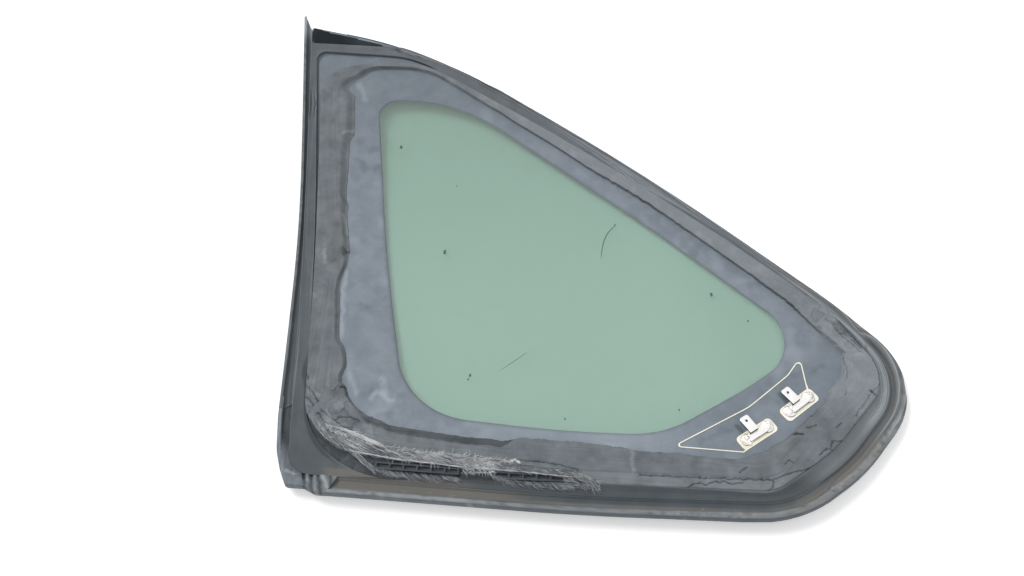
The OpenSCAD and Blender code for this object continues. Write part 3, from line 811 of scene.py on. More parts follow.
# Ten values stand for the ten corners of the lines. Reach is how far the outer rim lies
# outside its line, and no point of it passes reachEnd, the box's rear and sill sides.
# What onFlange and onEdge give are the strengths of the marks, each by its place.
seal = {"dam": [2.2, 3.6, 3.6, 3.2, 3.2, 2, 2, 2, 2.2, 2.2], "damTop": 1.2,
        "flange": [1, 0.7, 0.7, 0.8, 1, 1, 1, 1, 1, 1],
        "lipShare": [0.27, 0.33, 0.42, 0.62, 0.6, 0.5, 0.5, 0.5, 0.5, 0.5],
        "lip": [2.4] * 5 + [1] * 5, "trough": [1, 1, 1, 0.7, 0.7] + [0] * 5,
        "ridge": [0, 0, 0, 0.6, 0.4, 0, 0, 0, 0, 0], "lipRound": 0.8, "lap": 1,
        "ribbed": [0.5, 0, 0, 0, 0.8, 1, 1, 1, 1, 1], "taper": 60,
        "ribPitch": 1.75, "frontPitch": 3.2, "lipPitch": 1.5,
        "damShade": [0.8, 1, 1, 0.25, 0, 0, 0, 0, 0.35, 0.6],
        "reach": [0, 0, 0.3, 0.5, 0.6, 1, 0.95, 1.1, 0, 0], "reachEnd": [200.4, -192.7],
        "onFlange": {"dust": 0.2, "brown": 0.75, "fleck": 0.6, "noseDust": 0.45,
                     "rear": 0.4, "noseWallLight": 0.3, "edgeLine": 0.7, "ribTops": 0.22,
                     "valleys": 0.85, "dam": 0.62, "crease": 0.9, "nookShadow": 0.9,
                     "frontChannelShade": 0.5, "frontValleys": 0.3},
        "onEdge": {"noseDust": 0.25, "lipDust": 0.8, "rear": 0.16, "fleck": 0.7, "lip": 0.36,
                   "frontLip": 0.2, "ridge": 0.4, "valleys": 0.8, "outside": 0.5,
                   "lipSpots": 0.5, "rearTroughShade": 0.62, "trough": 0.6}}


def heldBack(p, q):
    # share of the way from p to q at which the bare corner of the print begins
    atP, atQ = pastBare(p), pastBare(q)
    return np.where(atQ > 0, atP / np.minimum(atP - atQ, -1e-6), 1)


def makeFlange():
    # closed profile carried all the way round on the border: up the dam, over its top
    # and down to a low flange, with cosine ribs along it and its marks
    ring = np.arange(0, count, 3)
    d, q, i = damLine[ring], glassLine[ring], ring[:, None]
    dam, flange = along(seal["dam"])[ring], along(seal["flange"])[ring]
    f = heldBack(d, q)[:, None]
    outer = d * (1 - f) + q * f
    grid = np.stack([
        beside(d, 0, borderHeight), beside(d, 0, borderHeight + dam),
        toward(d, outer, seal["damTop"], borderHeight + dam),
        between(d, outer, 0.5, borderHeight + dam * 0.45),
        beside(outer, 0, borderHeight + flange), beside(outer, 0, borderHeight)], axis=1)
    grid = withCuts(rounded(grid, [0.1, 0.4, 0.5, 1.5, 0.3, 0.1]), 0.5, [2, 3])
    x, y = grid[..., 0], grid[..., 1]
    over, back, rimmed = apart(grid, d), apart(grid, q), apart(grid, outer)
    high = np.clip(grid[..., 2] - skin(y, borderHeight), 0, 1)
    ribbed = at(seal["ribbed"], ring) * ease((9 - back) / 3)
    nose, rearward, nearFront = ease((x - 80) / 60), ease((x + 60) / 60), ease((-150 - x) / 15)
    narrow = ease((8 - np.linalg.norm(outer - d, axis=1)[:, None]) / 1.5)
    atFront = nearFront * ease((y + 92) / 20) * narrow
    ribs = np.cos(back * 2 * math.pi / seal["ribPitch"]) * ribbed * (1 - nearFront) + atFront * (
        np.cos((rimmed - 2.4) * 2 * math.pi / seal["frontPitch"]))
    rough = (0.08 * cloud(x, y, 5, 21) + 0.12 * ribs
             + 0.05 * streaks(i, back, 60, 1.1, 22) * ribbed * (1 - nearFront)) * high
    grid = grid + outwardOf(grid, True) * rough[..., None] * 0.8

    # dust: brown beside the sill, flecks towards the corner, streaks at the nose
    mark = seal["onFlange"]
    overSill = y - glassCorners[0][1] + 0.093 * (x - glassCorners[0][0])
    brown = ease((-60 - x) / 40) * ease((x + 168) / 8) * ease((6.5 - overSill) / 2.5)
    fleck = np.clip(cloud(x, y, 2.4, 38) * 2.4 - 0.9, 0, 1) * ease((-95 - x) / 20) * ease(
        (-130 - y) / 10)
    dust = (mark["dust"] * np.clip(0.2 + cloud(x, y, 30, 23), 0, 1) + mark["brown"] * brown
            + mark["fleck"] * fleck)
    dust = dust + mark["noseDust"] * nose * ease((9 - back) / 6) * (
        0.8 + 0.5 * streaks(i, back, 60, 1.4, 25))

    # scuff and highlight: streaks and rib tops, painted light on the wall at the nose, a light
    # line at the front edge
    wall = ease((over - 0.8) / 1.5)
    long = streaks(i, back, 140, 1.0, 24) * (1 - nearFront) + nearFront * (
        streaks(i, rimmed, 170, 4, 24))
    scuff = np.clip((long * 0.8 + 0.45 * ribs - 0.25) * 1.2, 0, 1) * (0.15 + 0.6 * ribbed)
    scuff = scuff + mark["rear"] * ribbed * rearward + (
        mark["noseWallLight"] * ease((x - 120) / 30) * wall)
    edgeAt = 0.5 + 1.9 * ease((y + 92) / 30)
    scuff = scuff + mark["edgeLine"] * ease(1 - abs(rimmed - edgeAt) / 1.1) * (
        nearFront * ease((-30 - y) / 40) * ease((y + 140) / 15))
    scuff = scuff + mark["ribTops"] * atFront * np.clip(ribs, 0, 1) * ease((rimmed - 1.2) / 0.5)

    # shade: between streaks and ribs and in creases; painted shade below the dam, in the
    # nook of the front corner and in the channel beside the front edge
    shade = np.clip((-long - 0.5 * ribs - 0.3) * 1.6, 0, 1) * mark["valleys"] * ribbed + (
        mark["dam"] * at(seal["damShade"], ring) * wall * (1 - 0.85 * brown))
    shade = shade + mark["crease"] * traced(jagged(grid[..., :2], 49), seen["creases"],
                                            borderHeight + 1, 0.9)
    # painted shadow in the nook by the dam at the front corner, and painted channel shade
    nookShadow = ease((4.5 - over) / 3) * ease((-150 - x) / 20) * ease((-70 - y) / 20)
    shade = shade + mark["nookShadow"] * nookShadow + atFront * (
        mark["frontChannelShade"] * ease((1.7 - rimmed) / 0.5)
        + mark["frontValleys"] * np.clip(-ribs, 0, 1))
    return grid, {"dust": dust, "scuff": scuff, "shade": shade}


def makeEdge():
    # closed profile carried outside the glass, from the corner block round to where it
    # dies out along the roof: a lap on the border, a trough and the outer lip
    rows = np.arange(firstAt(0.1667), firstAt(7) + steps[0][7] + steps[1][7] // 5 + 1, 3)
    g, r, i = glassLine[rows], rimLine[rows], rows[:, None]
    r[:, :2] += r[:, 2:] * at(seal["reach"], rows)
    r[:, 0] = np.minimum(r[:, 0], seal["reachEnd"][0])
    r[:, 1] = np.maximum(r[:, 1], seal["reachEnd"][1])
    share, lip, trough, ridge, flange = [
        along(seal[key])[rows] for key in ("lipShare", "lip", "trough", "ridge", "flange")]
    ends = ease((travel[rows[-1]] - travel[rows]) / seal["taper"])
    r = g + (r - g) * (0.03 + 0.97 * ends)[:, None]
    half = pane["thickness"] * 0.5
    top = half + (pane["thickness"] + lip - half) * ends
    low = np.minimum(borderHeight - trough, top)
    flange, ridge = flange * ends, ridge * ends
    grid = np.stack([
        beside(g, 0, 0), beside(g, 0, borderHeight + flange * 0.2),
        beside(g, -seal["lap"], borderHeight + flange * 0.2),
        beside(g, -seal["lap"], borderHeight + flange * 0.5 + ridge),
        between(g, r, 0.05, borderHeight + flange * 0.5 + ridge), between(g, r, 0.15, low),
        between(g, r, 0.92 - share, low), between(g, r, 1 - share, top - seal["lipRound"]),
        between(g, r, 1 - share * 0.8, top), between(g, r, 1 - share * 0.2, top),
        beside(r, 0, top - seal["lipRound"]), beside(r, 0, seal["lipRound"]),
        between(g, r, 1 - share * 0.2, 0)], axis=1)
    grid = withCuts(rounded(grid, [0.1, 0.1, 0.1, 0.5, 0.8, 0.8, 1.2, 1.2, 1.0, 0.8, 0.5,
                                   0.5, 0.3], 2), 0.8, range(3, 10), 2)
    x, y = grid[..., 0], grid[..., 1]
    over = apart(grid, g)
    wide = np.linalg.norm(r[:, :2] - g[:, :2], axis=1)[:, None]
    place = over / np.maximum(wide, 0.5)
    up = ease((grid[..., 2] - skin(y, 2.2)) / 0.8)
    ribbed = at(seal["ribbed"], rows)
    ribs = np.cos(over * 2 * math.pi / seal["lipPitch"]) * ribbed
    rough = (0.09 * cloud(x, y, 6, 31) + 0.06 * streaks(i, over, 70, 1.3, 32)
             + 0.08 * ribs)
    moved = outwardOf(grid, False) * (rough * up * ease(wide / 4))[..., None]
    grid = grid + moved * np.where(place[..., None] > 0.93, 0.2, 1)

    # where a point lies: on the lip, towards the sill, the nose, the front; near is 1
    # over the front half, where the trough's dust has its own borders
    mark = seal["onEdge"]
    onLip = ease((place - 0.56) / 0.1) * ease((0.97 - place) / 0.05)
    sill, nose, rearward = ease((-60 - y) / 60), ease((x - 80) / 60), ease((x + 60) / 60)
    front, near = ease((-40 - x) / 60), ease((-10 - x) / 60)
    spots = cloud(x, y, 3, 39)
    inTrough = near * ease((place + 0.05) / 0.15) * ease((0.62 + 0.16 * front - place) / 0.12) + (
        1 - near) * ease((place - 0.34) / 0.2) * ease((0.74 - place) / 0.1)
    drawn = 0.75 + 0.6 * streaks(i, over, 60, 1.2, 35)
    inTrough = np.maximum(inTrough * (1 - nose), 0.7 * nose * drawn * ease(
        (place - 0.1) / 0.2) * ease((0.96 - place) / 0.15))
    dust = inTrough * up * (0.25 + 0.75 * sill) * (0.85 + 0.4 * cloud(x, y, 16, 33))
    dust = np.clip(dust + mark["noseDust"] * nose * up * (0.7 + cloud(x, y, 12, 37)), 0, 1)
    dust = dust + mark["lipDust"] * onLip * sill * np.clip(cloud(x, y, 4, 40) * 1.6 - 0.2, 0, 1)

    fleck = np.clip(cloud(x, y, 2.2, 36) * 2.4 - 1.0, 0, 1) * sill * ease((place - 0.3) / 0.2)
    long = streaks(i, over, 150, 0.9, 34)
    scuff = np.clip((long + 0.3 * ribs - 0.3) * 1.3, 0, 1) * up * (0.2 + 0.6 * ribbed)
    # the lip's top along the sill is lighter: partly scuffed wear, partly painted highlight
    scuff = scuff + mark["rear"] * ribbed * up * rearward + fleck * mark["fleck"] + (
        mark["lip"] + mark["frontLip"] * front) * onLip * up * sill * (1 + 0.9 * spots)
    scuff = scuff + mark["ridge"] * ease(1 - abs(over - 0.3) / 0.9) * ease(ridge[:, None]) * up

    shade = np.clip((-long - 0.3 * ribs - 0.3) * 1.2, 0, 1) * up * mark["valleys"] * ribbed
    shade = shade + mark["outside"] * ease((place - 0.965) / 0.03) * (1 - 0.7 * front) + (
        mark["lipSpots"] * onLip * sill * np.clip(-1.6 * spots - 0.25, 0, 1))
    # painted shade on the trough's wall along the sill
    shade = shade + sill * up * (
        mark["rearTroughShade"] * (1 - 0.7 * nose) * (1 - near) * ease((0.46 - place) / 0.16)
        + mark["trough"] * near * (1 - front) * ease((place - 0.5) / 0.12) * ease(
            (0.75 - place) / 0.06))
    return grid, {"dust": dust, "scuff": scuff, "shade": shade}


def buildSeal():
    # the two closed profiles as one piece
    (flange, onFlange), (edge, onEdge) = makeFlange(), makeEdge()
    points = np.concatenate([flange.reshape(-1, 3), edge.reshape(-1, 3)])
    faces = gridFaces(*flange.shape[:2], True, True) + tubeFaces(
        *edge.shape[:2], flange.shape[0] * flange.shape[1])
    marks = {key: np.concatenate([onFlange[key].ravel(), onEdge[key].ravel()])
             for key in onFlange}
    piece = addPiece("sealMoulding", points, faces, rubberMade, marks)
    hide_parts("seal_moulding")


# Tip is how far the outer wall rises past the strip's end, over tipRun of a corner;
# wallEnd is where the light on the wall stops and litFrom where the tip's begins.
strip = {"wall": 1.9, "inner": 0.5, "height": 2.6, "floor": 3.4, "round": 0.4, "tip": 8,
         "tipRun": 1 / 9, "wallEnd": 2.1, "litFrom": 172,
         "marks": {"dust": 0.4, "wall": 0.12, "tip": 0.9, "inner": 0.4, "tipInside": 0.5,
                   "streaks": 0.25, "floor": 0.4, "rim": 0.1}}


def buildFrontStrip():
    # channel profile carried down the front edge; its outer wall runs up to a point
    rows = np.arange(firstAt(8) + steps[0][8], firstAt(9.6) + 4, 2)
    g, r = glassLine[rows], rimLine[rows]
    past = 1 - (stations[rows] - 8) / strip["tipRun"]
    rise = strip["tip"] * np.clip(past, 0, 1)
    r[:, :2] += np.stack([r[:, 3], -r[:, 2]], 1) * rise[:, None]
    wall, top = strip["wall"], pane["thickness"] + strip["height"]
    grid = np.stack([
        beside(g, 0, 0), beside(g, 0, borderHeight + 1),
        beside(g, strip["inner"], borderHeight + 1), beside(g, strip["inner"], strip["floor"]),
        beside(r, -wall, strip["floor"]), beside(r, -wall, top),
        beside(r, -strip["round"], top), beside(r, 0, top - strip["round"]),
        beside(r, 0, seal["lipRound"]), beside(r, -seal["lipRound"], 0)], axis=1)
    grid = withCuts(rounded(grid, [0.1, 0.3, 0.5, 0.4, 0.4, 0.4, 0.3, 0.3, 0.3, 0.3]), 0.6,
                    range(2, 6))
    x, y = grid[..., 0], grid[..., 1]
    over, back = apart(grid, g), apart(grid, r)
    rough = 0.07 * cloud(x, y, 7, 41) + 0.05 * streaks(rows[:, None], over, 70, 1.0, 42)
    grid = grid + outwardOf(grid, False) * rough[..., None] * ease(back - 0.4)[..., None] * 0.8
    onWall = ease((strip["wallEnd"] - back) / 0.3)
    tip, mark = y - strip["litFrom"], strip["marks"]
    dust = np.clip(0.1 + 0.4 * cloud(x, y, 40, 43), 0, 1) * mark["dust"]
    scuff = (mark["wall"] * onWall + ease(tip / 12) * onWall * mark["tip"]
             + mark["inner"] * ease((0.8 - over) / 0.3)
             + mark["tipInside"] * ease((tip - 2) / 10) * (1 - onWall)
             + mark["streaks"] * streaks(rows[:, None], over, 60, 1, 44))
    # painted shade on the channel's floor, fading out at the tip
    shade = (mark["floor"] * (1 - onWall) * ease((over - 0.7) / 0.3) * (1 - ease(tip / 8))
             + mark["rim"] * ease((0.4 - back) / 0.2))
    piece = addPiece("frontStrip", grid, tubeFaces(*grid.shape[:2]), rubberMade,
                     {"dust": dust, "scuff": scuff, "shade": shade})
    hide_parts("front_lip")


# Outer is the block's line between the ends of the rim's; grooves and ridges are pixels
# of the photograph.
block = {"outer": [[-195.6, -122, 60], [-194.4, -146, 30], [-191, -159.5, 20],
                   [-187.2, -169.5, 3], [-176, -170.3, 2], [-168.8, -174.6, 3]],
         "height": 2.6, "columns": 44, "wall": 2.3, "channel": 3.4, "seenAt": 6.6,
         "grooveDepth": 1.7, "slopeDepth": 1.2, "rimDrop": 0.7, "ridgeHeight": 0.3,
         "sunk": 0.35, "round": 0.8,
         "marks": {"channel": 0.85, "groove": 0.9, "rim": 0.3, "slope": 0.5, "streak": 0.3,
                   "ridge": 0.75, "wall": 0.35, "paleStreak": 0.35, "dust": 0.35,
                   "slopeDust": 0.1},
         "grooves": [[[302.5, 456], [303, 470], [304.5, 488]],
                     [[309.5, 462], [311, 476], [312, 492]],
                     [[317, 470], [319, 482], [320.5, 495]],
                     [[328, 468], [331, 480], [332, 497]]],
         "ridges": [[[300, 452], [300.5, 460]], [[306, 464], [308, 480]],
                    [[314, 464], [315.5, 476]], [[319, 466], [323, 476], [327, 487]],
                    [[286, 470], [296, 474]]]}


def shareOf(line):
    way = np.concatenate([[0], np.cumsum(np.linalg.norm(np.diff(line, axis=0), axis=1))])
    return way / way[-1]


def buildBlock():
    # grid between the edge of the glass and the block's outer line, matched by their
    # shares of the way; a channel runs on from the strip's and ends in a low mound,
    # with grooves across the lower part
    rows = np.arange(firstAt(9.6), firstAt(10.1667) + 1, 2) % count
    g = glassLine[rows, :2]
    first, last = rimLine[rows[0], :2], rimLine[rows[-1], :2]
    centre, r, begin, turn = cornerArcs([[*first, 0]] + block["outer"] + [[*last, 0]])
    angle = begin[1:-1, None] + turn[1:-1, None] * np.linspace(0, 1, 9)[None]
    arcs = centre[1:-1, None] + r[1:-1, None, None] * np.stack([np.cos(angle), np.sin(angle)], -1)
    path = np.vstack([first, arcs.reshape(-1, 2), last])
    o = readAt(path, shareOf(path), shareOf(g))
    across = np.linspace(0, 1, block["columns"])[None, :, None]
    plan = g[:, None] * (1 - across) + o[:, None] * across
    x, y = plan[..., 0], plan[..., 1]
    edge = distanceTo(plan, path)
    grooves = traced(jagged(plan, 48, 0.5, 3), block["grooves"], block["seenAt"], 1.6)
    ridges = traced(jagged(plan, 47, 0.6, 3), block["ridges"], block["seenAt"], 1.7)
    channel = ease((y + 149) / 17) * ease((edge - block["wall"]) / 0.8)
    slope = ease((6 - apart(plan, g)) / 6) * ease((-128 - y) / 14) * ease((-165 - x) / 6)
    rim = ease(1 - edge / 0.9)
    full = pane["thickness"] + block["height"]
    h = (full - block["channel"] * channel - block["grooveDepth"] * grooves
         - block["slopeDepth"] * slope - block["rimDrop"] * rim + 0.25 * cloud(x, y, 5, 45))
    h = np.minimum(h - block["sunk"] + block["ridgeHeight"] * ridges, full)
    under = np.zeros((len(g), 1))
    foot = plan[:, -1:] * block["round"] / edge.max() + plan[:, -2:-1] * (
        1 - block["round"] / edge.max())
    points = np.concatenate([onPane(plan[:, :1], under), onPane(plan, h),
                             onPane(plan[:, -1:], under + block["round"]),
                             onPane(foot, under)], axis=1)
    streak, mark = softNoise(x / 1.2, y / 9, 46), block["marks"]
    # painted shade in the channel, the grooves and on the slope by the glass edge
    shade = (mark["channel"] * channel + mark["groove"] * grooves + mark["rim"] * rim
             + mark["slope"] * slope + np.clip(-streak - 0.2, 0, 1) * mark["streak"])
    # painted highlight on the ridges and along the wall
    scuff = (mark["ridge"] * ridges
             + mark["wall"] * ease(1 - abs(edge - 1.4) / 0.9) * ease((y + 142) / 14)
             + np.clip(streak - 0.2, 0, 1) * mark["paleStreak"] * (1 - channel))
    dust = mark["dust"] * ease((x + 172) / 8) + mark["slopeDust"] * slope
    piece = addPiece("cornerBlock", points, tubeFaces(*points.shape[:2]), blockMade,
                     padded(2, shade=shade, scuff=scuff, dust=dust))
    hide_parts("corner_block")


buildSeal()
buildFrontStrip()
buildBlock()
print("seal ready")


# Ten values stand for the ten corners of the lines; crumpled gives places and radii.
bead = {"height": [3.2, 4.6, 4.6, 4, 4, 2.6, 2.6, 2.8, 3.2, 3.2],
        "foot": [1, 1, 1, 1, 1, 1, 1, 0.5, 0.3, 0.4],
        "footWidth": [0.5, 0.4, 0.5, 0.6, 0.5, 0.3, 0.3, 0.4, 0.8, 1],
        "stripe": 5.0, "tornSlope": 9, "tornDrop": 1.7, "bed": 0.85, "columns": 64,
        "ledge": 9, "ledgeDrop": 0.8, "crumpled": [[-166, -138, 40], [164, -62, 30]],
        "crackDepth": 0.6, "deepDepth": 1.2, "edgeDrop": 0.8, "least": 0.25, "above": 0.25,
        "crackWidth": 0.75, "deepWidth": 1.5, "smearWidth": 2.2, "innerAt": 0.7,
        "outerAt": 2.6, "cracksAt": 3.6, "smearsAt": 3.4, "mostTorn": 14,
        "marks": {"crack": 0.72, "mottle": 0.4, "bed": 0.8, "facet": 0.16, "fibreShade": 0.6,
                  "ledge": 0.24, "smear": 0.5, "paleFacet": 0.3, "fibre": 0.75},
        "step": [2, 0.8, 1.8, 1.8, 1.8, 0.8, 0.6, 2, 6, 6],
        "lumps": [0.7, 0.1, 0.6, 0.6, 0.6, 0.4, 0.3, 0.3, 0.5, 0.5],
        "stepShade": [0.2, 0.2, 0.12, 0.12, 0.12, 0.9, 1, 0, 0, 0],
        "footShade": [0.6, 0.6, 0.1, 0.1, 0.1, 0.3, 0.3, 0.3, 0.2, 0.2],
        "lines": [0.4, 0.25, 0.3, 0.3, 0.3, 0.3, 0.3, 0.3, 0.25, 0.25],
        "tone": [0.06, 0.16, 0.12, 0.12, -0.34, -0.12, -0.3, -0.05, 0.08, 0.1],
        "dust": [0.15, 0.05, 0.1, 0.1, 0.1, 0.05, 0.05, 0.15, 0.25, 0.25],
        "wrinkles": [0.08, 0.02, 0.03, 0.04, 0.03, 0.02, 0.02, 0.05, 0.12, 0.12]}


def innerEdge():
    # how far the traced inner edge lies from the foot line, at every station: where the
    # way to the bead's outer line crosses the tracing, smoothed over three stations
    f, d = footLine[:, :2], beadLine[:, :2]
    inner = seenAt(seen["inner"], borderHeight + bead["innerAt"])[:, :2]
    share = crossing(f, d, inner, 0.45)
    found = np.isfinite(share)
    known = (share * np.linalg.norm(d - f, axis=1))[found]
    known = np.interp(travel, travel[found], known, period=travel[-1] + linePitch)
    known = np.convolve(np.pad(known, 1, "wrap"), np.ones(3) / 3, "valid")
    return np.clip(known, -3.5, 9)


insets = innerEdge()


def buildBead(name, node, a, b):
    # height field over the strip between the bead's two lines: a thin foot from the
    # traced inner edge, a step up to the cut face, and a wall down to the dam; over
    # the torn stretch the face slopes down and only a thin bed is left beyond it; where
    # the blade caught, the face is crumpled into facets
    rows = span(a, b)
    f, d, i = footLine[rows], beadLine[rows], rows[:, None]
    height, foot, footWidth, step, lines, tone = [
        at(bead[key], rows) for key in ("height", "foot", "footWidth", "step", "lines", "tone")]
    width = np.linalg.norm(d[:, :2] - f[:, :2], axis=1)
    zero = travel[rows] * 0
    ragged = (0.35 * softNoise(travel[rows] / 4, zero, 51)
              + 0.22 * softNoise(travel[rows] / 1.3, zero, 52))
    outer = seenAt(seen["outer"], borderHeight + bead["outerAt"])[:, :2]
    torn = np.nan_to_num(crossing(d[:, :2], f[:, :2], outer, 0.8)) * width
    torn = np.clip(torn, 0, bead["mostTorn"])[:, None]
    width, ragged = width[:, None], ragged[:, None]
    keep = width - torn + 0.5 * ragged * (torn > 0)
    inset = insets[rows][:, None] + ragged
    across = inset + (width - inset) * np.linspace(0, 1, bead["columns"])[None]
    plan = f[:, None, :2] + (d - f)[:, None, :2] * (across / width)[..., None]
    x, y = plan[..., 0], plan[..., 1]

    # the plain shape: foot, step, rounded outer edge, torn slope
    stripe = ease((x + 150) / 14) * ease((-44 - x) / 14) * (y < -100)
    stepAt = inset + footWidth + bead["stripe"] * stripe + 0.3 * ragged
    h = foot * ease((across - inset) / 0.5) + (height - foot) * ease((across - stepAt) / step)
    fromOuter = width - across
    h = h - (bead["edgeDrop"] - 0.6 * ease((-150 - x) / 10) * ease((y + 90) / 30)) * ease(
        1 - fromOuter / 0.9)
    onTorn = ease(torn / 4) * ease(1 - (keep - across) / bead["tornSlope"])
    h = h - onTorn * bead["tornDrop"]

    # the knife's lines, lumps, facets and wrinkles of the face, lower on the sill's ledge
    cut = 0.06 * streaks(i, across, 40, 1.5, 53) + 0.04 * streaks(i, across, 12, 0.8, 54)
    lumps = 0.16 * cloud(x, y, 8, 55) + 0.2 * at(bead["lumps"], rows) * cloud(x, y, 3.5, 56)
    bent = jagged(plan, 66, 1.2, 4)
    facet, seam = facets(bent[..., 0], bent[..., 1], 8, 67)
    fold = facets(bent[..., 0], bent[..., 1], 3, 68)[0]
    crumple = np.max([ease(1.5 - 1.2 * np.hypot(x - cx, y - cy) / far)
                      for cx, cy, far in bead["crumpled"]], axis=0)
    creased = seam * ease((cloud(x, y, 7, 71) - 0.05) / 0.2)
    lumps = lumps + crumple * (0.5 * facet + 0.16 * fold) + at(bead["wrinkles"], rows) * (
        softNoise(x / 9, y / 1.7, 69) + 0.6 * softNoise(x / 5, y / 0.9, 70))
    ledge = ease((x + 24) / 6) * ease((118 - x) / 6) * ease((bead["ledge"] - fromOuter) / 0.6) * (
        y < -150)
    h = h + (cut + lumps) * ease((across - stepAt) / 1.5) * (1 - 0.6 * ledge) - (
        ledge * bead["ledgeDrop"])

    # cracks and what was torn away beside them
    rough, high = jagged(plan, 60), borderHeight + bead["cracksAt"]
    crack = traced(rough, seen["cracks"] + seen["creases"], high, bead["crackWidth"])
    deep = traced(rough, seen["deep"], high, bead["deepWidth"])
    smear = traced(jagged(plan, 63, 0.8), seen["smears"], borderHeight + bead["smearsAt"],
                   bead["smearWidth"])
    h = np.maximum(h - bead["crackDepth"] * crack - bead["deepDepth"] * deep, bead["least"])
    h = np.minimum(h, height + bead["above"])
    beyond = ease((across - keep) / 0.5) * (torn > 0.3)
    h = h * (1 - beyond) + beyond * (bead["bed"] + 0.12 * cloud(x, y, 2, 62))
    h = np.where(across <= inset + 1e-6, 0.05, h)
    points = np.concatenate([onPane(plan[:, :1], borderHeight), onPane(plan, borderHeight + h),
                             onPane(plan[:, -1:], borderHeight)], axis=1)

    fine, fibre = streaks(i, across, 26, 0.7, 57), streaks(i, across, 9, 0.45, 65)
    mottle, mark = cloud(x, y, 7, 64), bead["marks"]
    # painted shade along the step at the inner edge, over the foot below it, on the bed left beyond the
    # torn stretch and in the creases between facets
    shade = (at(bead["stepShade"], rows) * ease(1 - abs(across - stepAt - 0.2) / 0.6)
             + mark["crack"] * crack + deep
             + at(bead["footShade"], rows) * ease((stepAt - across) / 0.6) * ease(
                 (stepAt - inset) / 2)
             + np.clip(-fine - 0.35, 0, 1) * lines
             + np.clip(-mottle - 0.1, 0, 1) * mark["mottle"]
             + tone + mark["bed"] * beyond + crumple * mark["facet"] * (creased - facet)
             + mark["fibreShade"] * onTorn * (1 - beyond) * np.clip(-0.1 - fibre, 0, 1))
    scuff = (np.clip(fine - 0.45, 0, 1) * lines + ledge * mark["ledge"]
             + mark["smear"] * smear + np.clip(mottle - 0.12, 0, 1) * mark["mottle"]
             + np.maximum(-tone, 0)
             + crumple * mark["paleFacet"] * np.clip(facet * 0.7 + fold * 0.3, 0, 1)
             + mark["fibre"] * onTorn * (1 - beyond) * np.clip(0.35 + 1.4 * fibre, 0, 1))
    dust = at(bead["dust"], rows) * (0.5 + 0.9 * cloud(x, y, 24, 59)) * (1 - onTorn)
    piece = addPiece(name, points, tubeFaces(*points.shape[:2]), adhesiveMade,
                     padded(1, shade=shade, scuff=scuff, dust=dust))
    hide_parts(node)


beads = {"beadCorner": ["adhesive_corner", 9.6, 10.5], "beadSill": ["adhesive_sill", 0.5, 1.5],
         "beadNose": ["adhesive_nose", 1.5, 5], "beadRoof": ["adhesive_roof", 5, 8],
         "beadFront": ["adhesive_front", 8, 9.6]}
for name, (node, a, b) in beads.items():
    buildBead(name, node, a, b)
print("adhesive ready")


for node, name in (("sill_ladder_front", "cellsFront"), ("sill_ladder_rear", "cellsRear")):
    cells = bevelled(cadCopy(node, name), 0.25)
    cells.data.materials.append(cellMade)

